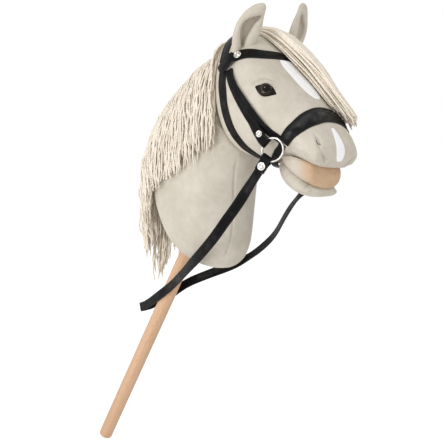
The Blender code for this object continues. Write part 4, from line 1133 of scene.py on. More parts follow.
@dataclass
class Ear:
    """A padded ear: a thick roll up its outer edge and over the tip, a hollow, and a flatter front lobe.

    The edges of roll, hollow and lobe are places across the ear, in mm towards the middle plane, given for
    places along it. All its other lengths are in mm too, apart from the lining's thickness.
    """

    side: Side
    root: Point
    sink: float
    leans_forward: float
    leans_out: float
    opens_out: float
    along: tuple[float, ...] = (0.0, 14.0, 28.0, 42.0, 54.0, 62.0, 68.0, 74.0, 80.0, 84.0, 86.5)
    outer: tuple[float, ...] = (-12.0, -17.0, -21.2, -22.6, -21.1, -18.8, -16.2, -12.2, -6.8, -1.0, 4.0)
    roll: tuple[float, ...] = (-1.4, -1.8, -8.2, -12.9, -11.3, -3.4, 4.4, 8.0, 8.6, 8.0, 6.2)
    lobe: tuple[float, ...] = (0.8, 0.7, -0.6, 0.4, 2.7, 6.3, 9.2, 10.6, 10.2, 9.1, 6.8)
    inner: tuple[float, ...] = (12.0, 13.6, 16.3, 18.0, 17.0, 14.9, 13.4, 12.6, 11.6, 10.2, 7.5)
    roll_height: float = 5.5
    lobe_height: float = 3.6
    hollow_depth: float = 7.0
    hollow_per_width: float = 1.5
    # Painted shade: the hollow is painted darker the deeper it is, in full at darkest_hollow, and edge_shade
    # paints a band along its edges.
    darkest_hollow: float = 9.0
    back_depth: float = 12.0
    back_thins: float = 0.4
    full_width: float = 16.0
    edge_shade: float = 0.9
    edge_shade_reach: float = 1.2
    tip_from: float = 63.0
    tip_over: float = 9.0
    lining_from: float = 10.0
    lining_past_tip: float = 3.0
    lining_thickness: float = 0.5 * MM
    rows: int = 44
    columns: int = 8

    def build(self, skin: bpy.types.Material, ear_shade_velour: bpy.types.Material) -> None:
        """Makes the ear and the lining of its hollow and sets them in the frame."""
        across, heights, backs, folds = self._section()
        front = self._place(across, heights)
        back = self._place(across, backs)
        rings = np.concatenate((front, back[:, -2:0:-1]), axis=1)
        ear = closed_loft("ear_" + self.side.word + "_skin", rings)
        # Painted shade of the hollow and its edges on the front; none on the back.
        painted_shade = np.concatenate((folds, np.zeros((self.rows, back.shape[1] - 2))), axis=1).ravel()
        set_attribute(ear, SEAM_SHADE_AND_TONE, np.concatenate((painted_shade, (0.0, 0.0))))
        apply_modifier(ear, "SUBSURF", levels=1, render_levels=1)
        settle(ear, skin, "velour", Body.TOY, "ear_" + self.side.word)
        self._line(front, ear_shade_velour)

    def _section(self) -> tuple[np.ndarray, np.ndarray, np.ndarray, np.ndarray]:
        """Places across, heights of the front and of the back, and the painted shade of the hollow and its edges,
        row by row.
        """
        table = np.array((self.along, self.outer, self.roll, self.lobe, self.inner)).T
        self.table = spline(table, self.rows)
        eases = (1 - np.cos(np.pi * np.arange(self.columns + 1) / self.columns)) / 2
        arches = 2 * np.sqrt(eases * (1 - eases))
        across, heights, backs, folds = [], [], [], []
        for place, outer, roll, lobe, inner in self.table:
            edges = ((outer, roll, self.roll_height), (roll, lobe, 0.0), (lobe, inner, self.lobe_height))
            row, rises = [outer], [0.0]
            for start, end, height in edges:
                row += list(start + (end - start) * eases[1:])
                depth = min(self.hollow_depth, self.hollow_per_width * (end - start))
                rises += list(arches[1:] * (height if height else -depth))
            row, rises = np.array(row), np.array(rises)
            share = np.clip((row - outer) / (inner - outer) * 2 - 1, -1, 1)
            arch = np.sqrt(1 - share**2)
            tip = float(smoothstep(np.array((place - self.tip_from) / self.tip_over)))
            taper = min(1.0, (inner - outer) / self.full_width) ** 0.6
            heights.append((rises * (1 - tip) + arch * self.roll_height * tip) * taper)
            backs.append(-arch * self.back_depth * (1 - self.back_thins * place / self.along[-1]) * taper)
            across.append(row)
            # Painted shade: all of the hollow, darker the deeper it is, and a band along the edges of the roll and
            # the lobe.
            near = np.minimum(abs(row - roll), abs(row - lobe))
            inside = (row >= roll) & (row <= lobe)
            shade = (1 - tip) * self.hollow_depth / self.darkest_hollow
            beside = self.edge_shade * np.exp(-((near / self.edge_shade_reach) ** 2))
            folds.append(shade * np.where(inside, 1.0, beside))
        return np.array(across), np.array(heights), np.array(backs), np.array(folds)

    def _place(self, across: np.ndarray, heights: np.ndarray) -> np.ndarray:
        """Points of the ear in the frame, from places across it and heights towards its opening."""
        leanings = (self.leans_forward, self.leans_out, self.opens_out)
        forward, out, turn = (math.radians(angle) for angle in leanings)
        sign = self.side.value
        length = unit(np.array((math.sin(forward), sign * math.sin(out), math.cos(forward))))
        opens = np.array((math.cos(turn), sign * math.sin(turn), 0.0))
        opens = unit(opens - length * opens.dot(length))
        inward = np.cross(length, opens) * -sign
        x, z, y = self.root
        along = (self.table[:, 0] - self.sink)[:, None, None] * length
        return at(x, z, sign * y) + (along + across[:, :, None] * inward + heights[:, :, None] * opens) * MM

    def _line(self, front: np.ndarray, ear_shade_velour: bpy.types.Material) -> None:
        """Lays the lining in the hollow."""
        places = self.table[:, 0]
        inside = (places > self.lining_from) & (places < self.tip_from + self.lining_past_tip)
        floor = front[inside][:, self.columns : 2 * self.columns + 1]
        rows, columns = floor.shape[:2]
        lift = unit(np.cross(np.gradient(floor, axis=1), np.gradient(floor, axis=0))) * self.side.value
        rise = 0.7 * np.sin(np.pi * np.linspace(0, 1, columns)) ** 0.5 - 0.3
        grid = floor - lift * (rise * MM)[None, :, None]
        name = "ear_lining_" + self.side.word
        lining = mesh_piece(name + "_cloth", grid.reshape(-1, 3), grid_faces(rows, columns))
        if self.side is Side.LEFT:
            lining.data.flip_normals()
        apply_modifier(lining, "SOLIDIFY", thickness=self.lining_thickness, offset=-1.0)
        settle(lining, ear_shade_velour, "ear_velour", Body.TOY, name)


@dataclass(frozen=True)
class Fold:
    """A fold of the face on the right half: its depth, width and route in mm, and how much darker it is painted:
    painted shade in the crease, and a dark line where the fold is sewn.
    """

    depth: float
    width: float
    stain: float
    route: Route

    def on(self, side: Side) -> Crease:
        """The fold's crease on one side."""
        return Crease(spline(on_side(self.route, side), 24), self.depth * MM, self.width * MM, self.stain)


@dataclass
class Hide:
    """The sewn skins of the head, neck, jaw, mouth and ears, with their seams and the face's forms."""

    plug_depth: float = 6.0 * MM
    plug_radius: float = 10.8 * MM
    bore_radius: float = 16.2 * MM
    bore_places: Sequence[int] = range(12, 186, 8)
    gusset: Route = (
        (142, 149.3, 26.3),
        (136, 115.9, 26.2),
        (130.6, 74.8, 22.5),
        (125, 32.2, 21),
        (112.2, -7.6, 23.9),
    )
    pucker_reach: float = 6.0 * MM
    pucker_rise: float = 1.5 * MM
    pales_from: float = 295.0
    pales_over: float = 24.0 * MM
    jaw_dart: Route = ((282.6, 93.8, 37.6), (283.5, 98.2, 33.1), (281.6, 102.8, 25.0))
    lip: Route = ((315.9, 151.4, 45.6), (317.8, 145.2, 44.7), (315.4, 138.4, 36), (309.9, 130.3, 26.2))
    lid: Route = ((211, 248.2, 67.9), (218.2, 253.9, 62.9), (227.7, 256.1, 56.2), (237, 251.9, 51.6))
    folds: tuple[Fold, ...] = (
        Fold(2.8, 3.8, 0.45, ((312.5, 163.4, 44.5), (314.1, 159.1, 44.8), (315.4, 154.9, 45.2))),
        Fold(1.1, 2.4, 0.35, ((307.5, 169, 46), (311, 163.5, 45), (315.4, 157, 43))),
        Fold(1.3, 2.5, 0.6, lip),
        Fold(1.2, 2.4, 0.55, ((315.4, 138.4, 36), (313.7, 133.6, 25.6))),
        Fold(1.8, 2.8, 0.5, ((265, 155.2, 54.9), (271.1, 149.3, 52.3), (281.6, 145.1, 51.9))),
        Fold(0.9, 2.6, 0.1, ((269.4, 160.3, 56.9), (279.8, 155.4, 56.3), (292.2, 152.4, 56.2))),
        Fold(1.4, 2.6, 0.35, lid),
    )
    head: bpy.types.Object = field(init=False)
    neck: bpy.types.Object = field(init=False)

    def build(
        self, skin: bpy.types.Material, pink: bpy.types.Material, ear_shade_velour: bpy.types.Material
    ) -> None:
        """Grows every stuffed form and sets it in the frame."""
        plugs = []
        for side in Side:
            middle, axis = thin_axis("eye_washer_" + side.word, side)
            plugs.append((middle - axis * self.plug_depth, self.plug_radius))
        foot, stick = np.array(NECK_FOOT), np.array(STICK_AXIS)
        bore = [(foot + stick * place * MM, self.bore_radius) for place in self.bore_places]
        blown = {"smoothing": 7, "swell": 3.0 * MM, "pressure": 3.0, "subdivisions": 2}
        self.head = StuffedForm("head", 4.5 * MM, plugs=plugs, **blown).build()
        self.neck = StuffedForm("neck", 5.5 * MM, plugs=bore, **blown).build()
        jaw = StuffedForm("lower_jaw", 3.0 * MM, smoothing=6, swell=1.6 * MM).build()
        pad = StuffedForm("mouth_lining", 3.0 * MM, smoothing=6, swell=1.2 * MM).build()
        self._shade_mouth(pad)
        self._sew(jaw)
        for piece, finish, slot, node, fill in (
            (self.head, skin, "velour", "head", 0.95),
            (self.neck, skin, "velour", "neck", 0.95),
            (jaw, skin, "velour", "lower_jaw", 0.9),
            (pad, pink, "mouth_velour", "mouth_lining", 0.85),
        ):
            settle(piece, finish, slot, Body.TOY, node)
        right = {"sink": 14.0, "leans_forward": 33.0, "leans_out": 2.0, "opens_out": 24.0}
        left = {"sink": 2.4, "leans_forward": 13.0, "leans_out": 12.0, "opens_out": 12.0, "hollow_depth": 3.0}
        Ear(Side.RIGHT, (176.0, 308.0, 52.0), **right).build(skin, ear_shade_velour)
        Ear(Side.LEFT, (184.0, 313.0, 50.0), **left).build(skin, ear_shade_velour)

    def _sew(self, jaw: bpy.types.Object) -> None:
        """Presses the seams, the nostrils and the lids into the skins, painted darker: the seams' dark lines, and
        painted shade in the creases and puckers.
        """
        neck_seams, head_creases, jaw_creases = [], [], []
        for side in Side:
            seam = spline(on_side(self.gusset, side), 60)
            neck_seams.append(Crease(seam, depth=1.5 * MM, width=2.2 * MM, stain=0.4))
            back, front = (self.pucker_reach, 0.0, 0.0), (self.pucker_reach, 0.0, self.pucker_rise)
            for place in seam[2:-2:3]:
                pucker = np.array((place - back, place + front))
                neck_seams.append(Crease(pucker, depth=0.5 * MM, width=1.6 * MM, stain=0.08))
            head_creases += [fold.on(side) for fold in self.folds]
            dart = spline(on_side(self.jaw_dart, side), 16)
            jaw_creases.append(Crease(dart, depth=1.0 * MM, width=2.2 * MM, stain=0.7))
        press(self.neck, neck_seams)
        press(self.head, head_creases)
        press(jaw, jaw_creases)

    def _shade_mouth(self, pad: bpy.types.Object) -> None:
        """Marks the part towards the mouth's corner, where the lining pales to the hide's colour."""
        forward = points_of(pad)[:, 0] - at(self.pales_from, 0)[0]
        set_attribute(pad, SEAM_SHADE_AND_TONE, smoothstep(-forward / self.pales_over))


@dataclass
class Patches:
    """The white blaze and snip and the dark nostril stitches, each laid on the head.

    A patch has its half widths along its guide and its thickness in mm.
    """

    rows: int = 36
    columns: int = 11
    tapered_rows: float = 3.0
    tuck: float = 0.35
    cloth_thickness: float = 0.6 * MM
    blaze: Route = (
        (217, 300, 0),
        (226, 292, 0),
        (236, 281, 0),
        (248, 268, 0),
        (261, 253, 0),
        (274, 238, 0),
        (283, 228, 0),
    )
    blaze_halves: tuple[float, ...] = (17.0, 22.5, 27.0, 24.5, 23.0, 17.0, 5.0)
    blaze_thickness: float = 1.0
    snip: Route = (
        (312, 184, -9),
        (320, 173, -8),
        (327, 160, -6),
        (331, 147, -4),
        (329, 135, -2),
        (324, 126, 0),
    )
    snip_halves: tuple[float, ...] = (3.5, 7.0, 10.0, 11.5, 9.5, 4.5)
    snip_thickness: float = 0.9
    nostril: Route = ((312.3, 163.5, 45), (314, 159.5, 45), (315.4, 155.2, 44))
    nostril_halves: tuple[float, ...] = (0.4, 1.3, 0.6)
    nostril_thickness: float = 0.6

    def build(self, surface: Surface, white: bpy.types.Material, thread: bpy.types.Material) -> None:
        """Lays the patches and sets them in the frame."""
        for node, route, halves, thickness in (
            ("blaze", self.blaze, self.blaze_halves, self.blaze_thickness),
            ("snip", self.snip, self.snip_halves, self.snip_thickness),
        ):
            guide = np.array([at(*point) for point in route])
            patch = self._patch(node + "_patch", surface, guide, halves, thickness)
            settle(patch, white, "white_velour", Body.TOY, node)
        for side in Side:
            node, guide = "nostril_" + side.word, on_side(self.nostril, side)
            halves, thickness = self.nostril_halves, self.nostril_thickness
            slit = self._patch(node + "_stitch", surface, guide, halves, thickness)
            settle(slit, thread, "dark_thread", Body.TOY, node)

    def _patch(
        self, name: str, surface: Surface, guide: np.ndarray, halves: Sequence[float], thickness: float
    ) -> bpy.types.Object:
        """A patch that follows the skin, proud of it in the middle and tucked in at its edges.

        Args:
            name: The piece's name.
            surface: The skin.
            guide: The patch's middle line.
            halves: Its half width at each guide point, in mm.
            thickness: How far it stands proud, in mm.

        Returns:
            The patch.
        """
        middle = spline(guide, self.rows)
        half = np.interp(np.linspace(0, len(halves) - 1, self.rows), range(len(halves)), halves)
        half = averaged(half[:, None], 2)[:, 0] * MM
        numbers = np.arange(self.rows)
        ends = smoothstep(np.minimum(numbers, numbers[::-1]) / self.tapered_rows)
        laid, normals = surface.under(middle, 5)
        across = unit(np.cross(unit(np.gradient(middle, axis=0)), normals))
        grid = []
        for row in range(self.rows):
            for place in np.linspace(-1, 1, self.columns):
                near, normal = surface.nearest(laid[row] + across[row] * half[row] * place)
                rise = thickness * (1 - abs(place) ** 5) * ends[row] - self.tuck
                grid.append(near + normal * rise * MM)
        patch = mesh_piece(name, np.array(grid), grid_faces(self.rows, self.columns))
        apply_modifier(patch, "SOLIDIFY", thickness=self.cloth_thickness, offset=-1.0)
        apply_modifier(patch, "SUBSURF", levels=1, render_levels=1)
        return patch


@dataclass
class Eye:
    """One eye: a glossy dome under an almond rim of dark stitching, held by a washer inside the head."""

    side: Side
    seat: float = 7.0 * MM
    radius: float = 10.2 * MM
    dome: float = 5.8 * MM
    dome_steps: int = 12
    skirt: float = 1.0 * MM
    facets: int = 48
    iris_radius: float = 9.2 * MM
    looks_forward: float = 3.0 * MM
    looks_up: float = 2.0 * MM
    shift: tuple[float, float] = (2.2 * MM, -2.2 * MM)
    rim_length: float = 39.0 * MM
    rim_height: float = 21.0 * MM
    opening_length: float = 20.6 * MM
    opening_top: float = 5.9 * MM
    opening_bottom: float = 7.4 * MM
    rim_steps: int = 72
    rim_rings: int = 7
    rim_sink: float = 0.5 * MM
    rim_rise: float = 1.1 * MM
    rim_on_dome: float = 0.45 * MM
    rim_thickness: float = 0.7 * MM
    almond_power: float = 1.8
    face_slope: float = -0.32
    centre: np.ndarray = field(init=False)
    axis: np.ndarray = field(init=False)
    front: np.ndarray = field(init=False)
    up: np.ndarray = field(init=False)

    def __post_init__(self) -> None:
        """Reads the eye's place from its washer."""
        middle, self.axis = thin_axis("eye_washer_" + self.side.word, self.side)
        self.centre = middle + self.axis * self.seat
        front = np.array((1.0, 0.0, self.face_slope))
        self.front = unit(front - self.axis * front.dot(self.axis))
        up = np.cross(self.front, self.axis)
        self.up = up if up[2] > 0 else -up
        self.centre = self.centre + self.front * self.shift[0] + self.up * self.shift[1]

    def build(self, surface: Surface, gloss: bpy.types.Material, thread: bpy.types.Material) -> None:
        """Makes the dome and its rim and sets them in the frame."""
        profile = [(0.0, -self.skirt), (self.radius * 0.9, -self.skirt), (self.radius, 0.0)]
        for step in range(1, self.dome_steps):
            turn = math.radians(step * 90 / self.dome_steps)
            profile.append((self.radius * math.cos(turn), self.dome * math.sin(turn)))
        profile.append((0.0, self.dome))
        ball = turned("eye_" + self.side.word + "_dome", profile, self.facets, self.centre, self.axis)
        offset = points_of(ball) - self.centre
        gaze = self.front * self.looks_forward + self.up * self.looks_up
        flat = offset - np.outer(offset @ self.axis, self.axis) - gaze
        set_attribute(ball, FROM_PUPIL, np.linalg.norm(flat, axis=1) / self.iris_radius)
        settle(ball, gloss, "eye_plastic", Body.TOY, "eye_" + self.side.word)
        settle(self._rim(surface), thread, "dark_thread", Body.TOY, "eye_patch_" + self.side.word)

    def _rim(self, surface: Surface) -> bpy.types.Object:
        """The almond rim, from the skin up over the dome to the edge of the opening."""
        grid = []
        for ring in range(self.rim_rings):
            share = ring / (self.rim_rings - 1)
            ease = float(smoothstep(np.array(share)))
            for step in range(self.rim_steps):
                turn = 2 * math.pi * step / self.rim_steps
                outer = self._almond(turn, self.rim_length, self.rim_height / 2, self.rim_height / 2)
                inner = self._almond(turn, self.opening_length, self.opening_top, self.opening_bottom)
                flat = outer * (1 - share) + inner * share
                base = self.centre + self.front * flat[0] + self.up * flat[1]
                near, _ = surface.nearest(base)
                on_skin = (near - self.centre) @ self.axis - self.rim_sink
                reach = min(float(np.hypot(*flat)) / self.radius, 1.0)
                on_dome = self.dome * math.sqrt(1 - reach**2) + self.rim_on_dome
                proud = on_skin + self.rim_rise * math.sin(math.pi * share)
                grid.append(base + self.axis * max(proud, on_dome * ease + on_skin * (1 - ease)))
        faces = grid_faces(self.rim_rings, self.rim_steps, closed=True)
        rim = mesh_piece("eye_rim_" + self.side.word, np.array(grid), faces)
        if sum((face.normal for face in rim.data.polygons), Vector()) @ Vector(self.axis) < 0:
            rim.data.flip_normals()
        apply_modifier(rim, "SOLIDIFY", thickness=self.rim_thickness, offset=-1.0)
        apply_modifier(rim, "SUBSURF", levels=1, render_levels=1)
        return rim

    def _almond(self, turn: float, length: float, top: float, bottom: float) -> np.ndarray:
        """A point of an almond outline: pointed ends, and its own height above and below.

        Args:
            turn: The angle round the outline, in radians.
            length: The distance between the points.
            top: The height above them.
            bottom: The height below them.

        Returns:
            The point's places forward and up.
        """
        out = math.cos(turn)
        rise = (1 - abs(out) ** self.almond_power) * (top if math.sin(turn) > 0 else bottom)
        return np.array((length / 2 * out, math.copysign(rise, math.sin(turn))))


@dataclass
class Stud:
    """A press stud: a cap with a dished middle and a rolled rim, on the place of its solid.

    The cap's profile is in shares of its radius and of its dome.
    """

    OUTSIDE = ((0.3, 0.0), (0.97, 0.0), (1.0, 0.12), (1.0, 0.4), (0.95, 0.68), (0.86, 0.8), (0.76, 0.76))
    INSIDE = ((0.68, 0.5), (0.62, 0.42), (0.55, 0.55), (0.42, 0.8), (0.22, 0.95))

    node: str
    side: Side
    diameter: float
    dome: float = 2.0 * MM
    post: float = 3.4 * MM
    facets: int = 40

    def build(self, plating: bpy.types.Material, body: Body) -> None:
        """Turns the cap and its post and sets them in the frame."""
        middle, axis = thin_axis(self.node, self.side)
        heights = (points_of(frame["nodes"][self.node]) - middle) @ axis
        foot = middle + axis * (heights.max() - self.dome)
        radius = self.diameter / 2
        cap = [(out * radius, rise * self.dome) for out, rise in self.OUTSIDE + self.INSIDE]
        profile = [(0.0, -self.post), (cap[0][0], -self.post), *cap, (0.0, self.dome)]
        stud = turned(self.node + "_cap", profile, self.facets, foot, axis)
        settle(stud, plating, "chrome", body, self.node)


@dataclass
class Bridle:
    """The straps on the head. Each is laid on the skin along its route, over the ones beneath it.

    The routes are those of the right half, with the middle point on its own. The pairs of shares say where
    along a strap, measured from its nearer end, a change starts and where it is complete.
    """

    surface: Surface
    maker: StrapMaker
    padded: bpy.types.Material
    plating: bpy.types.Material
    crown: Route = ((146, 290, 62), (146, 309, 56), (146, 326, 47), (147, 340, 26))
    crown_middle: Point = (147, 345, 0)
    throat: Route = (
        (149.5, 277, 64),
        (149, 257, 66.5),
        (152, 241, 68.5),
        (155.5, 222, 68.7),
        (160, 207, 68.4),
        (166.5, 188.5, 66),
        (175.5, 169.8, 59.7),
        (182.2, 158.7, 51),
        (190, 149.3, 38),
        (196, 143.5, 20),
    )
    throat_middle: Point = (198, 141, 0)
    nose: Route = (
        (258.5, 159, 57),
        (273, 170.5, 57),
        (284, 179, 55),
        (291, 188, 46),
        (295, 193.5, 35),
        (296.6, 198.6, 19),
    )
    nose_middle: Point = (297, 200.5, 0)
    chin: Route = ((257, 157.5, 57), (249, 150, 52), (237, 145, 44), (220, 141, 25))
    chin_middle: Point = (214, 138, 0)
    chin_slack: float = 7.0 * MM
    brow: Route = (
        (146.5, 274, 65),
        (152, 279, 65),
        (162, 287, 64),
        (173, 294.5, 61),
        (188, 297, 55),
        (206, 296, 42),
        (215, 295.5, 22),
    )
    brow_middle: Point = (218, 295, 0)
    cheek: Route = ((164.5, 276, 67), (172.5, 256, 70), (193, 224, 72.5), (214.5, 192.6, 70))
    hanger: Route = (
        (165, 276, 67),
        (178, 252, 71.3),
        (199, 226, 72.2),
        (219.5, 200.7, 69.6),
        (239.5, 177.8, 64),
        (257, 161.5, 58),
    )
    cheek_on_ring: float = 135.0
    crown_widths: tuple[float, float] = (21.0 * MM, 17.0 * MM)
    throat_widths: tuple[float, float] = (20.5 * MM, 17.0 * MM)
    nose_widths: tuple[float, float] = (18.0 * MM, 28.0 * MM)
    nose_padding: float = 1.8 * MM
    chin_width: float = 12.0 * MM
    brow_width: float = 18.0 * MM
    brow_padding: float = 0.7 * MM
    brow_loop_rise: float = 4.6 * MM
    cheek_width: float = 14.5 * MM
    hanger_width: float = 12.5 * MM
    cheek_stud: float = 10.0 * MM
    brow_stud: float = 12.5 * MM
    chin_free: tuple[float, float] = (0.14, 0.4)
    brow_loop: tuple[float, float] = (0.11, 0.16)
    hanger_over: tuple[float, float] = (0.74, 0.86)
    hanger_clearance: float = 0.2 * MM
    cheek_meets: float = 8.0 * MM
    cheek_knee: float = 1.0 * MM
    follows_skin: float = 0.65
    step: float = 3.0 * MM
    sink: float = 0.5 * MM

    def build(self, rings: list[Ring]) -> None:
        """Lays every strap and stud and sets them in the frame. The cheekpieces end on the rings."""
        self._band("crownpiece", over_both(self.crown, self.crown_middle), self.crown_widths)
        self._band("throatlash", over_both(self.throat, self.throat_middle), self.throat_widths)
        self._noseband()
        self._chin_strap()
        for ring in rings:
            self._cheekpiece(ring)
            self._hanger(ring.side)
            Stud("cheek_stud_" + ring.side.word, ring.side, self.cheek_stud).build(self.plating, Body.TOY)
        self._browband()
        for side in Side:
            Stud("brow_stud_" + side.word, side, self.brow_stud).build(self.plating, Body.TOY)

    @property
    def lift(self) -> float:
        """How far a strap's outer face stands above the skin beneath it."""
        return STRAP_THICKNESS - self.sink

    def _hug(self, point: np.ndarray) -> np.ndarray:
        """Moves a point of a strap's face towards the skin, so that its edges neither float nor cut in."""
        near, normal = self.surface.nearest(point)
        return point * (1 - self.follows_skin) + (near + normal * self.lift) * self.follows_skin

    def _strap(
        self,
        node: str,
        line: np.ndarray,
        normals: np.ndarray,
        lift: np.ndarray | float,
        width: np.ndarray | float,
        finish: bpy.types.Material | None = None,
        **options: object,
    ) -> None:
        """Cuts a strap and sets it in the frame.

        Args:
            node: The node that it stands for.
            line: A line below the middle of its outer face.
            normals: The outward normals along the line.
            lift: How far the face stands above the line, or one distance for each point.
            width: Its width, or one for each point.
            finish: Its leather, if it isn't the one that the straps share.
            options: What else the strap maker is told.
        """
        tops = line + normals * np.reshape(lift, (-1, 1))
        strap = self.maker.cut(node + "_strap", tops, normals, width, **options)
        settle(strap, finish or self.maker.leather, "strap", Body.TOY, node)

    def _band(self, node: str, guide: np.ndarray, widths: tuple[float, float]) -> None:
        """A strap that lies on the skin all the way, with its widths at the ends and at the middle."""
        points, normals = self.surface.lay(guide, self.step)
        share = np.sin(np.pi * np.linspace(0, 1, len(points)))
        width = widths[0] + (widths[1] - widths[0]) * share
        self._strap(node, points, normals, self.lift, width, hug=self._hug)

    def _noseband(self) -> None:
        """The broad padded band over the nose, narrower at its two ends."""
        points, normals = self.surface.lay(over_both(self.nose, self.nose_middle), self.step, 6)
        place = np.linspace(0, 1, len(points))
        narrow, broad = self.nose_widths
        width = narrow + (broad - narrow) * smoothstep(3.0 * np.minimum(place, 1 - place))
        options = {"hug": self._hug, "crown": self.nose_padding}
        self._strap("noseband", points, normals, self.lift, width, self.padded, **options)

    def _chin_strap(self) -> None:
        """The strap under the chin, which hangs slack off the skin between its two ends."""
        points, normals = self.surface.lay(over_both(self.chin, self.chin_middle), self.step)
        place = np.linspace(0, 1, len(points))
        start, end = self.chin_free
        free = (np.minimum(place, 1 - place) - start) / (end - start)
        lift = self.lift + self.chin_slack * smoothstep(free)
        self._strap("chin_strap", points, normals, lift, self.chin_width)

    def _browband(self) -> None:
        """The band over the forehead. Its ends rise over the cheek straps that they hold."""
        points, normals = self.surface.lay(over_both(self.brow, self.brow_middle), self.step)
        place = np.linspace(0, 1, len(points))
        start, end = self.brow_loop
        rise = smoothstep((end - np.minimum(place, 1 - place)) / (end - start))
        lift = self.lift + self.brow_loop_rise * rise
        width = self.brow_width * (1 + 0.1 * rise)
        self._strap("browband", points, normals, lift, width, crown=self.brow_padding)

    def _cheekpiece(self, ring: Ring) -> None:
        """The strap down the cheek, round the ring's wire and back beneath itself."""
        wire, radial, along = ring.on_wire(self.cheek_on_ring)
        bore, bow = ring.loop(self.cheek_width)
        hub = wire - radial * bow
        points, normals = self.surface.lay(on_side(self.cheek, ring.side), self.step)
        laid = points + normals * self.lift
        outward = unit(ring.axis - along * ring.axis.dot(along))
        top = bore + STRAP_THICKNESS
        meet = hub + radial * self.cheek_meets
        knee = (laid[-1] + meet) / 2 + outward * (STRAP_THICKNESS + self.cheek_knee)
        bends = (laid[-1], knee, meet + outward * STRAP_THICKNESS * 1.4, hub + outward * top)
        free = spline(np.array(bends), 14)[1:]
        ease = smoothstep(np.linspace(0, 1, len(free)))[:, None]
        free_normals = unit(normals[-1] * (1 - ease) + outward * ease)
        turns = np.radians(np.linspace(0, 180, 13))[1:, None]
        facing = outward * np.cos(turns) - radial * np.sin(turns)
        behind = [-3, -5, -7, -9]
        back = free[behind] - free_normals[behind] * 2 * STRAP_THICKNESS
        line = np.vstack((laid, free, hub + facing * top, back))
        outwards = np.vstack((normals, free_normals, facing, -free_normals[behind]))
        self._strap("cheekpiece_" + ring.side.word, line, outwards, 0.0, self.cheek_width)

    def _hanger(self, side: Side) -> None:
        """The slim strap over the cheekpiece that carries the noseband."""
        points, normals = self.surface.lay(on_side(self.hanger, side), self.step)
        place = np.linspace(0, 1, len(points))
        start, end = self.hanger_over
        over = STRAP_THICKNESS + self.hanger_clearance
        lift = self.lift + over * smoothstep((end - place) / (end - start))
        self._strap("noseband_hanger_" + side.word, points, normals, lift, self.hanger_width)


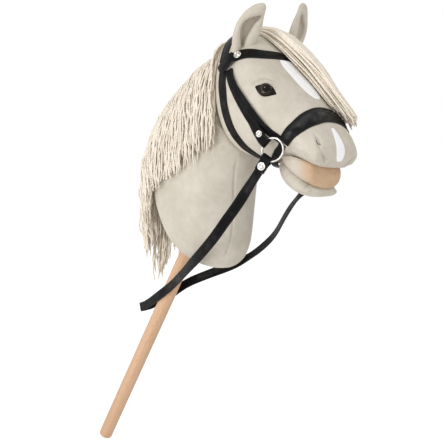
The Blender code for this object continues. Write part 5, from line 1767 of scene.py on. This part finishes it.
@dataclass
class Rein:
    """The rein: one flat strap from ring to ring, folded behind the stick, and its two snapped ends.

    The turns are the shares of a strand where it starts to turn forward, is turned, turns back and is back.
    """

    maker: StrapMaker
    plating: bpy.types.Material
    width: float = 16.0 * MM
    stud: float = 12.5 * MM
    lift: float = 4.0
    turned: float = 45.0
    right_turns: tuple[float, float, float, float] = (0.02, 0.14, 0.42, 0.62)
    left_turns: tuple[float, float, float, float] = (0.02, 0.12, 0.44, 0.6)
    on_ring: float = 235.0
    tab: float = 21.0 * MM
    first_step: float = 7.0 * MM
    gap: float = 0.3 * MM
    fold: float = 5.0 * MM
    fold_at: tuple[float, float] = (-124.0, -107.8)
    right: Route = (
        (186.6, 70.0, 76.0),
        (167.5, 51.0, 77.0),
        (140.6, 25.3, 75.0),
        (96.9, -3.6, 65.0),
        (60.6, -22.5, 52.0),
        (16.0, -44.0, 34.0),
        (-25.6, -63.5, 18.5),
        (-59.5, -81.1, 15.4),
        (-92.0, -97.0, 10.0),
        (-112.0, -104.5, 6.0),
    )
    left: Route = (
        (203.3, 88.7, 49.0),
        (186.6, 70.0, 47.0),
        (167.5, 51.0, 52.0),
        (140.6, 25.3, 61.0),
        (96.9, -3.6, 64.0),
        (60.6, -24.0, 53.0),
        (16.0, -42.0, 34.0),
        (-25.6, -60.0, 18.5),
        (-59.5, -79.5, 15.4),
        (-92.0, -96.0, 10.0),
        (-112.0, -104.5, 6.0),
    )
    step: float = 4.0 * MM
    spare_bore: float = 0.7 * MM
    fold_half: int = 6
    loop_points: int = 13
    tab_points: int = 8
    tab_near: float = 4.5 * MM
    tab_closes: tuple[float, float] = (3.0 * MM, 9.0 * MM)
    tab_keeps_line: float = 0.4
    tab_squeeze: float = 0.95
    guide_points: int = 160

    def build(self, rings: list[Ring]) -> None:
        ends = {ring.side: self._end(ring) for ring in rings}
        points, normals = self._route(ends)
        tops = points + normals * STRAP_THICKNESS / 2
        strap = self.maker.cut("rein_strap", tops, normals, self.width)
        settle(strap, self.maker.leather, "strap", Body.REIN, "rein")

    def _guide(self, side: Side) -> np.ndarray:
        """The course of one strand, from below its folded end to the fold behind the stick."""
        return on_side(self.right if side is Side.RIGHT else self.left, side)

    def _hub(self, ring: Ring) -> tuple[np.ndarray, np.ndarray, np.ndarray, float]:
        """The middle of the end's loop, its strap direction, its outward normal and its bore."""
        wire, radial, along = ring.on_wire(self.on_ring - self.lift / 2)
        bore, bow = ring.loop(self.width, self.spare_bore)
        back = np.array(Matrix.Rotation(math.radians(-self.lift / 2), 3, "Y"))
        hub = ring.centre + back @ (wire - radial * bow - ring.centre)
        strap = unit(back @ radial)
        normal = unit(np.cross(back @ along, strap))
        normal = normal if normal[1] * ring.side.value > 0 else -normal
        return hub, strap, normal, bore

    def _end(self, ring: Ring) -> tuple[np.ndarray, np.ndarray]:
        """The folded end: over the ring's wire, back on itself, and held by a stud.

        Args:
            ring: The ring that it holds.

        Returns:
            The loop's middle and the tab's end.
        """
        hub, strap, normal, bore = self._hub(ring)
        towards = unit(self._guide(ring.side)[0] - hub)
        keeps = self.tab_keeps_line
        end = hub + unit(strap * keeps + towards * (1 - keeps)) * self.tab
        top = bore + STRAP_THICKNESS * self.tab_squeeze
        run = unit(end - hub)
        places = np.linspace(self.tab, self.tab_near, self.tab_points)[:, None]
        opened, closed = self.tab_closes
        ease = smoothstep((closed - places) / (closed - opened))
        height = STRAP_THICKNESS * (1 - ease) + top * ease
        outer = hub + run * places + normal * height
        turns = np.radians(np.linspace(0, 180, self.loop_points))[:, None]
        facing = normal * np.cos(turns) - strap * np.sin(turns)
        under = hub + run * places[::-1] - normal * height[::-1]
        tops = np.vstack((outer, hub + facing * top, under))
        outward = np.repeat(normal[None, :], len(places), axis=0)
        normals = np.vstack((outward, facing, -outward))
        name = "rein_end_" + ring.side.word
        tab = self.maker.cut(name + "_strap", tops, normals, self.width)
        settle(tab, self.maker.leather, "strap", Body.REIN, name)
        Stud("rein_stud_" + ring.side.word, ring.side, self.stud).build(self.plating, Body.REIN)
        return hub, end

    def _strand(self, side: Side, end: tuple[np.ndarray, np.ndarray]) -> np.ndarray:
        """The middle line of one strand, from a gap behind its folded end to the fold."""
        hub, tab_end = end
        run = unit(tab_end - hub)
        start = tab_end + run * self.gap
        guide = np.vstack((start + run * self.first_step, self._guide(side)))
        strand = np.vstack((start, even(spline(guide, self.guide_points), self.step)))
        return eased(eased(strand, 3), 3)

    def _route(self, ends: dict[Side, tuple[np.ndarray, np.ndarray]]) -> tuple[np.ndarray, np.ndarray]:
        """The rein's middle line from its right end to its left end, and its flat side's normals."""
        right, left = (self._strand(side, ends[side]) for side in (Side.RIGHT, Side.LEFT))
        middle = at(*self.fold_at)
        run = unit((middle - right[-1]) * (1.0, 0.0, 1.0))
        turns = np.radians(np.linspace(-90, 90, 2 * self.fold_half + 1))[:, None]
        arc = middle + (run * np.cos(turns) + np.array((0.0, 1.0, 0.0)) * np.sin(turns)) * self.fold
        points = np.vstack((right, arc, left[::-1]))
        along = unit(np.gradient(points, axis=0))
        halfway = len(right) + self.fold_half
        back = along * (1.0, 0.0, 1.0)
        back[halfway:] *= -1
        back[halfway] = run
        back = unit(back)
        across = np.column_stack((-back[:, 2], np.zeros(len(back)), back[:, 0]))
        normals = unit(np.cross(along, across))
        first, second = slice(0, len(right)), slice(len(points) - len(left), len(points))
        right_shares = np.arange(len(right)) / len(right)
        left_shares = np.arange(len(left))[::-1] / len(left)
        normals[first] = self._turned(normals[first], along[first], Side.RIGHT, right_shares)
        normals[second] = self._turned(normals[second], along[second], Side.LEFT, left_shares)
        return points, normals

    def _turned(self, outward: np.ndarray, along: np.ndarray, side: Side, shares: np.ndarray) -> np.ndarray:
        """A strand's outward normals, turned forward over the part of its length where the strand turns.

        Args:
            outward: The normals.
            along: The directions of the strand.
            side: Which strand it is.
            shares: How far down the strand each normal is, from 0 to 1.

        Returns:
            The turned normals.
        """
        start, turned_at, until, end = self.right_turns if side is Side.RIGHT else self.left_turns
        part = np.minimum((shares - start) / (turned_at - start), (end - shares) / (end - until))
        part = smoothstep(part)[:, None]
        turn = math.radians(self.turned)
        facing = np.array((math.sin(turn), side.value * math.cos(turn), 0.0))
        return squared(outward * (1 - part) + facing * part, along)


@dataclass
class YarnCutter:
    """Turns strand routes into one mesh of yarn tubes, with the ply's UV and a tone for each strand that holds
    painted shade too.
    """

    radius: float = 1.3 * MM
    root_radius: float = 0.6
    tip_radius: float = 0.55
    sides: int = 6

    def cut(self, name: str, strands: list[np.ndarray], tints_and_shades: list[float]) -> bpy.types.Object:
        """Makes one lock.

        Args:
            name: The piece's name.
            strands: The route of each strand.
            tints_and_shades: From 0, the palest, to 1 for each strand, with painted shade for the deeper strands.

        Returns:
            The lock.
        """
        points, faces, uvs, shades = [], [], [], []
        for route, tint in zip(strands, tints_and_shades):
            own_faces, own_uvs = self._faces(len(shades), distances_along(route))
            points.append(self._points(route))
            faces += own_faces
            uvs += own_uvs
            shades += [tint] * len(points[-1])
        lock = mesh_piece(name, np.vstack(points), faces, np.array(uvs))
        set_attribute(lock, TINT_AND_SHADE, np.array(shades))
        return lock

    def _points(self, route: np.ndarray) -> np.ndarray:
        """A tube's points, row by row, and its two tips."""
        along = unit(np.gradient(route, axis=0))
        helper = np.eye(3)[int(np.argmin(np.abs(route[-1] - route[0])))]
        first = unit(np.cross(along, helper))
        second = np.cross(along, first)
        angles = (2 * np.pi * np.arange(self.sides) / self.sides)[None, :, None]
        ring = first[:, None, :] * np.cos(angles) + second[:, None, :] * np.sin(angles)
        rows = len(route)
        shares = (self.root_radius, 1.0, 1.0, self.tip_radius)
        radii = self.radius * np.interp(np.arange(rows), (0, 1, rows - 3, rows - 1), shares)
        tube = route[:, None, :] + ring * radii[:, None, None]
        return np.vstack((tube.reshape(-1, 3), route[:1] - along[:1] * MM, route[-1:] + along[-1:] * MM))

    def _faces(self, first: int, lengths: np.ndarray) -> tuple[list, list]:
        """A tube's faces, counted from its first vertex, and the UV pairs of their corners."""
        faces, uvs = [], []
        sides, rows = self.sides, len(lengths)
        for row in range(rows - 1):
            low, start, end = first + row * sides, lengths[row], lengths[row + 1]
            for side in range(sides):
                a, b = low + side, low + (side + 1) % sides
                faces.append((a, a + sides, b + sides, b))
                left, right = side / sides, (side + 1) / sides
                uvs += [(left, start), (left, end), (right, end), (right, start)]
        last, tip = first + (rows - 1) * sides, first + rows * sides
        for side in range(sides):
            after = (side + 1) % sides
            faces += [(first + side, first + after, tip), (last + after, last + side, tip + 1)]
            uvs += [(0.0, 0.0)] * 3 + [(0.0, lengths[-1])] * 3
        return faces, uvs


def strand_tint(random: np.random.RandomState, layer: float) -> float:
    """How dark a strand is: by chance, as painted shade by how deep it lies, and more for the odd strand."""
    darker = 0.22 if random.uniform() < 0.16 else 0.0
    # Painted shade: the deeper a strand lies, the darker it is painted.
    return random.uniform(0.0, 0.3) + 0.3 * (1 - layer) + darker


def wildness(random: np.random.RandomState, wildest: float) -> float:
    """How much a strand's kinks are enlarged: not at all, but for the odd strand."""
    return wildest if random.uniform() < 0.12 else 1.0


@dataclass
class Mane:
    """Yarn sewn along the crest. Each strand hangs down over the hide, clear of it by its own layer.

    Each edge between two locks has its place on the crest, the thickness of the yarn there, and how far
    the yarn swings back lower down. The lengths are those of each side's locks. All of these are in mm.
    The kinks are waves with their length and size.
    """

    surface: Surface
    cutter: YarnCutter
    yarn: bpy.types.Material
    crest: Route = (
        (124, 341, 0),
        (96, 333, 0),
        (66, 320, 0),
        (34, 301, 0),
        (3, 281, 0),
        (-27, 253, 0),
        (-54, 212, 0),
        (-86, 158, 0),
    )
    thickness: tuple[float, ...] = (15.0, 17.0, 19.0, 20.0, 22.0, 24.0, 27.0, 30.0)
    swing: tuple[float, ...] = (0.0, 0.0, 0.0, 0.0, 0.0, 0.0, 5.0, 13.0)
    right_lengths: tuple[float, ...] = (172.0, 182.0, 182.0, 174.0, 162.0, 172.0, 168.0)
    left_lengths: tuple[float, ...] = (150.0, 165.0, 168.0, 162.0, 176.0, 195.0, 210.0)
    full_at: tuple[float, ...] = (0.0, 0.05, 0.14, 0.55, 0.8, 1.0)
    fullness: tuple[float, ...] = (0.12, 0.75, 1.0, 1.0, 0.88, 0.66)
    parting: float = 1.4
    parting_closed: float = 0.015
    clearance: float = 1.6
    yarn_width: float = 3.2
    crest_rise: float = 2.5
    swung_at: float = 0.6
    wildest: float = 1.7
    sideways: float = 0.45
    kinks: tuple[tuple[float, float], ...] = (
        (85 * MM, 2.6 * MM),
        (38 * MM, 1.0 * MM),
        (17 * MM, 0.35 * MM),
    )
    strands_per_metre: float = 1500.0
    strands_per_clump: int = 9
    rows: int = 38
    row_spacing: float = 1.25
    seed: int = 11

    def build(self) -> None:
        """Hangs every lock and sets it in the frame."""
        random = np.random.RandomState(self.seed)
        for side in Side:
            lengths = self.right_lengths if side is Side.RIGHT else self.left_lengths
            for lock, length in enumerate(lengths):
                node = f"mane_{side.word}_{lock + 1}"
                strands, tints_and_shades = self._lock(random, lock, side, length)
                piece = self.cutter.cut(node + "_yarn", strands, tints_and_shades)
                settle(piece, self.yarn, "yarn", Body.TOY, node)

    def _lock(
        self, random: np.random.RandomState, lock: int, side: Side, length: float
    ) -> tuple[list[np.ndarray], list[float]]:
        """Hangs the strands of one lock.

        Args:
            random: Where the draws come from.
            lock: The lock's number along the crest, from 0.
            side: The side that it falls on.
            length: Its length in mm.

        Returns:
            The strands' routes and their tones, with painted shade for the deeper strands.
        """
        front, back = (np.array(self.crest[lock + step], float) for step in (0, 1))
        count = int(np.linalg.norm(back - front) * MM * self.strands_per_metre)
        clumps = max(3, count // self.strands_per_clump)
        strands, tints_and_shades = [], []
        for number in range(count):
            share = (number + random.uniform(0.1, 0.9)) / count
            clump = (int(share * clumps) + 0.5) / clumps
            x, z, _ = front + (back - front) * share
            thick = np.interp(lock + share, range(len(self.thickness)), self.thickness)
            swing = np.interp(lock + share, range(len(self.swing)), self.swing)
            layer = random.uniform(0.0, 1.0) ** 0.75
            own_length = length * random.uniform(0.86, 1.07) - 4.0 * (1 - layer)
            route = self._hang(side, (x, z), thick, swing, layer, own_length)
            drift = (front + (back - front) * clump)[0] - x
            strands.append(self._sway(random, route, drift * random.uniform(0.2, 0.7)))
            tints_and_shades.append(strand_tint(random, layer))
        return strands, tints_and_shades

    def _hang(
        self, side: Side, place: tuple[float, float], thick: float, swing: float, layer: float, length: float
    ) -> np.ndarray:
        """A strand that falls from the crest and never swings back in under the widest place above it.

        Args:
            side: The side that it falls on.
            place: Its root on the crest, as distances in mm from the neck foot, forwards and up.
            thick: The thickness of the yarn there.
            swing: How far it swings back.
            layer: From 0, against the hide, to 1, outermost.
            length: Its length.

        Returns:
            Its route.
        """
        x, top = place
        reach, points = 0.0, []
        for share in np.linspace(0, 1, self.rows) ** self.row_spacing:
            height = top - length * share
            start = at(x, height)
            reach = max(reach, self.surface.reach_out(start[0], start[2], side) / MM)
            fullness = np.interp(share, self.full_at, self.fullness)
            out = max(reach, 0.6) + self.clearance + (thick - self.yarn_width) * fullness * layer
            out = self.parting + (out - self.parting) * min(1.0, share / self.parting_closed)
            rise = self.crest_rise * layer * math.exp(-share * 14)
            back = swing * math.sin(math.pi / 2 * min(1.0, share / self.swung_at))
            points.append(at(x - back, height + rise, side.value * out))
        return eased(np.array(points), 2)

    def _sway(self, random: np.random.RandomState, route: np.ndarray, drift: float) -> np.ndarray:
        """Draws a strand towards its clump and gives it the kinks of washed yarn."""
        share = np.linspace(0, 1, len(route)) ** self.row_spacing
        length = share * route_length(route)
        wild = wildness(random, self.wildest)
        wave = np.zeros_like(route)
        for wavelength, size in self.kinks:
            phase = random.uniform(0, 2 * math.pi, 2)
            amount = size * random.uniform(0.3, 1.0) * wild
            turns = 2 * np.pi * length / wavelength * random.uniform(0.8, 1.25)
            wave[:, 0] += amount * np.sin(turns + phase[0])
            wave[:, 1] += self.sideways * amount * np.sin(turns + phase[1])
        free = smoothstep(share * 3.0)[:, None]
        return route + np.array((drift * MM, 0.0, 0.0)) * smoothstep(share)[:, None] + wave * free


@dataclass
class Forelock:
    """Yarn that falls from the poll between the ears over the forehead, to the left of the face."""

    surface: Surface
    cutter: YarnCutter
    yarn: bpy.types.Material
    guides: tuple[Route, ...] = (
        (
            (162, 350, -8),
            (188, 345, -1),
            (222, 300, 8),
            (250, 270, 18),
            (276, 240, 27),
            (300, 200, 36),
            (309, 184, 39),
        ),
        (
            (163, 350, 10),
            (187, 345, 19),
            (218, 303, 31),
            (246, 273, 43),
            (272, 240, 50),
            (294, 202, 53),
            (303, 186, 54),
        ),
    )
    half_width: float = 15.5 * MM
    thickness: float = 28.0 * MM
    clearance: float = 1.8 * MM
    yarn_width: float = 3.4 * MM
    wildest: float = 1.8
    fullness: tuple[float, ...] = (0.28, 0.58, 0.9, 1.0, 1.0, 0.9, 0.7, 0.54, 0.4)
    strands: int = 112
    rows: int = 46
    seed: int = 23

    def build(self) -> None:
        """Lays both locks and sets them in the frame."""
        random = np.random.RandomState(self.seed)
        for number, guide in enumerate(self.guides, 1):
            places, normals = self.surface.under(spline(np.array([at(*p) for p in guide]), self.rows), 6)
            laid = eased(places, 4)
            across = unit(np.cross(unit(np.gradient(laid, axis=0)), normals))
            found = [self._strand(random, laid, normals, across) for _ in range(self.strands)]
            strands, tints_and_shades = zip(*found)
            piece = self.cutter.cut(f"forelock_{number}_yarn", strands, tints_and_shades)
            settle(piece, self.yarn, "yarn", Body.TOY, f"forelock_{number}")

    def _strand(
        self, random: np.random.RandomState, laid: np.ndarray, normals: np.ndarray, across: np.ndarray
    ) -> tuple[np.ndarray, float]:
        """One strand beside the guide: bunched at the root, full over the poll, straying at the tip.

        Args:
            random: Where the draws come from.
            laid: The guide on the hide.
            normals: The hide's normals along it.
            across: The directions across it.

        Returns:
            The strand's route and its tone, with painted shade the deeper it lies.
        """
        share = np.linspace(0, 1, self.rows)[:, None]
        place, layer = random.uniform(-1, 1), random.uniform(0, 1) ** 0.8
        spread = self.half_width * (0.72 + 0.28 * np.sin(np.pi * share)) * (1 - 0.3 * layer**2)
        stray = random.uniform(-7, 9) * MM * smoothstep((share - 0.45) * 1.8)
        fullness = np.interp(share[:, 0], np.linspace(0, 1, len(self.fullness)), self.fullness)[:, None]
        height = self.clearance + (self.thickness * fullness - self.yarn_width) * layer
        height = height + random.uniform(0, 12) * MM * layer * smoothstep((share - 0.6) * 2.5)
        wild = wildness(random, self.wildest)
        bends, phases = random.uniform(8, 15, 2), random.uniform(0, 6.3, 2)
        wave = random.uniform(0.5, 1.6) * MM * wild * np.sin(share * bends[0] + phases[0])
        lift = random.uniform(0.2, 0.9) * MM * wild * np.sin(share * bends[1] + phases[1])
        height = np.maximum(height + lift * smoothstep(share * 4), self.clearance)
        route = laid + across * (spread * place + stray + wave * smoothstep(share * 4)) + normals * height
        keep = int(self.rows * random.uniform(0.84, 1.0) * (0.86 + 0.14 * layer))
        return route[:keep], strand_tint(random, layer)


@dataclass(frozen=True)
class Lamp:
    """A square soft lamp, and the place in the middle plane that it faces, in mm from the neck foot."""

    name: str
    place: Point
    size: float
    power: float
    target: tuple[float, float]

    def hang(self) -> None:
        """Adds the lamp to the scene."""
        lamp = bpy.data.objects.new(self.name, bpy.data.lights.new(self.name, "AREA"))
        lamp.data.size = self.size
        lamp.data.energy = self.power
        lamp.location = self.place
        aim = Vector(at(*self.target)) - Vector(self.place)
        lamp.rotation_euler = aim.to_track_quat("-Z", "Y").to_euler()
        bpy.context.scene.collection.objects.link(lamp)


@dataclass
class Studio:
    """The camera of the photograph, a pale floor, and soft light from both sides of the camera."""

    camera_place: Point = (1.1600, -0.8369, 0.4158)
    camera_azimuth: float = 45.0
    focal_length: float = 58.4
    film_width: float = 36.0
    floor_height: float = -5.6 * MM
    floor_size: float = 40.0
    floor_colour: Colour = (0.92, 0.92, 0.92)
    floor_seen: Colour = (0.45, 0.45, 0.45)
    floor_glow: float = 0.8
    world_colour: Colour = (1.0, 0.995, 0.985)
    world_strength: float = 0.66
    lamps: tuple[Lamp, ...] = (
        Lamp("key", (0.65, -1.24, 1.69), 0.25, 4.2, (150, 180)),
        Lamp("fill", (1.62, 0.42, 1.63), 0.25, 2.8, (200, 160)),
        Lamp("front", (0.2, -1.55, 0.2), 1.1, 15.0, (0, 40)),
        Lamp("low", (1.55, -0.35, 0.36), 0.6, 1.6, (310, 140)),
    )

    def build(self) -> None:
        """Sets the camera, the floor, the lamps and the world."""
        scene = bpy.context.scene
        scene.view_settings.view_transform = "Standard"
        camera = bpy.data.objects.new("camera", bpy.data.cameras.new("camera"))
        camera.data.lens = self.focal_length
        camera.data.sensor_width = self.film_width
        camera.location = self.camera_place
        camera.rotation_euler = (math.radians(90), 0.0, math.radians(self.camera_azimuth))
        scene.collection.objects.link(camera)
        scene.camera = camera
        self._floor()
        for lamp in self.lamps:
            lamp.hang()
        self._world()

    def _floor(self) -> None:
        """A wide pale floor. The camera and reflections see it white, with the shadow kept."""
        bpy.ops.mesh.primitive_plane_add(size=self.floor_size, location=(0.0, 0.0, self.floor_height))
        floor = bpy.context.object
        floor.name = "floor"
        recipe = Recipe("pale_floor")
        recipe.finish(self.floor_colour, 0.95, None, Specular_IOR_Level=0.0)
        seen = recipe.add("ShaderNodeBsdfDiffuse", {"Color": self.floor_seen})
        glow = recipe.add("ShaderNodeEmission", {"Color": (1.0, 1.0, 1.0), "Strength": self.floor_glow})
        both = recipe.add("ShaderNodeAddShader", {0: seen, 1: glow})
        path = recipe.add("ShaderNodeLightPath").socket.node
        camera, glossy, transmission = (Wire(recipe, path.outputs[name]) for name in SEEN_RAYS)
        rays = {0: camera + glossy + transmission, 1: 1.0}
        chosen = recipe.add("ShaderNodeMath", rays, operation="MINIMUM")
        plain = Wire(recipe, recipe.shader.outputs[0])
        mixed = recipe.add("ShaderNodeMixShader", {0: chosen, 1: plain, 2: both})
        recipe.feed(recipe.tree.nodes["Material Output"].inputs["Surface"], mixed)
        floor.data.materials.append(recipe.material)

    def _world(self) -> None:
        """Soft light from all round, seen as white."""
        world = bpy.data.worlds.new("studio")
        world.use_nodes = True
        tree = world.node_tree
        background = tree.nodes["Background"]
        background.inputs["Color"].default_value = (*self.world_colour, 1.0)
        background.inputs["Strength"].default_value = self.world_strength
        white = tree.nodes.new("ShaderNodeBackground")
        white.inputs["Color"].default_value = (1.0, 1.0, 1.0, 1.0)
        white.inputs["Strength"].default_value = 1.0
        path = tree.nodes.new("ShaderNodeLightPath")
        seen = path.outputs[SEEN_RAYS[0]]
        for name in SEEN_RAYS[1:]:
            most = tree.nodes.new("ShaderNodeMath")
            most.operation = "MAXIMUM"
            tree.links.new(seen, most.inputs[0])
            tree.links.new(path.outputs[name], most.inputs[1])
            seen = most.outputs[0]
        mix = tree.nodes.new("ShaderNodeMixShader")
        tree.links.new(seen, mix.inputs[0])
        tree.links.new(background.outputs[0], mix.inputs[1])
        tree.links.new(white.outputs[0], mix.inputs[2])
        tree.links.new(mix.outputs[0], tree.nodes["World Output"].inputs["Surface"])
        bpy.context.scene.world = world


def dress_hidden_nodes(cotton: bpy.types.Material, nylon: bpy.types.Material) -> None:
    """Gives the pieces inside the neck and head their finishes."""
    finishes = {"stick_pocket": cotton, "hem_tie": nylon, "eye_washer_right": nylon, "eye_washer_left": nylon}
    for node, finish in finishes.items():
        frame["nodes"][node].data.materials.clear()
        frame["nodes"][node].data.materials.append(finish)


def main() -> None:
    """Builds the studio and the horse, piece by piece."""
    logging.basicConfig(level=logging.INFO, format="%(message)s")
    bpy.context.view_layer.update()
    Studio().build()
    leather = StrapLeather("strap_leather").make()
    padded = StrapLeather("padded_leather", stitched=False, shine=0.12, polish=0.7).make()
    plating = PlatedSteel("bright_plating").make()
    rings = [Ring(side) for side in Side]
    maker = StrapMaker(leather)
    Rein(maker, plating).build(rings)
    for ring in rings:
        ring.build(plating)
    skin = Velour("beige_velour", (0.66, 0.615, 0.54), (0.53, 0.485, 0.405), (0.33, 0.29, 0.23)).make()
    pink = Velour("mouth_velour", (0.67, 0.475, 0.32), (0.5, 0.33, 0.2), (0.6, 0.54, 0.46)).make()
    # A darker copy of the beige velour for the ears' linings: painted shade in their hollows.
    ear_shade_velour = Velour("ear_velour", (0.56, 0.5, 0.42), (0.45, 0.39, 0.32), (0.3, 0.24, 0.2)).make()
    white = Velour("white_velour", (0.97, 0.97, 0.98), (0.93, 0.93, 0.94), (0.6, 0.58, 0.56)).make()
    thread = SatinThread("dark_stitching").make()
    hide = Hide()
    hide.build(skin, pink, ear_shade_velour)
    head = Surface(hide.head)
    Patches().build(head, white, thread)
    gloss = EyeGloss("eye_gloss").make()
    for side in Side:
        Eye(side).build(head, gloss, thread)
    Bridle(head, maker, padded, plating).build(rings)
    Stick().build(Beech("beech").make())
    yarn = CottonYarn("cotton_yarn").make()
    Mane(Surface(hide.head, hide.neck), YarnCutter(), yarn).build()
    Forelock(head, YarnCutter(), yarn).build()
    cotton = PlainMatter("plain_cotton", (0.7, 0.68, 0.62), 0.9, 900.0).make()
    nylon = PlainMatter("moulded_nylon", (0.8, 0.8, 0.8), 0.45, 300.0).make()
    dress_hidden_nodes(cotton, nylon)


if __name__ == "__main__":
    main()
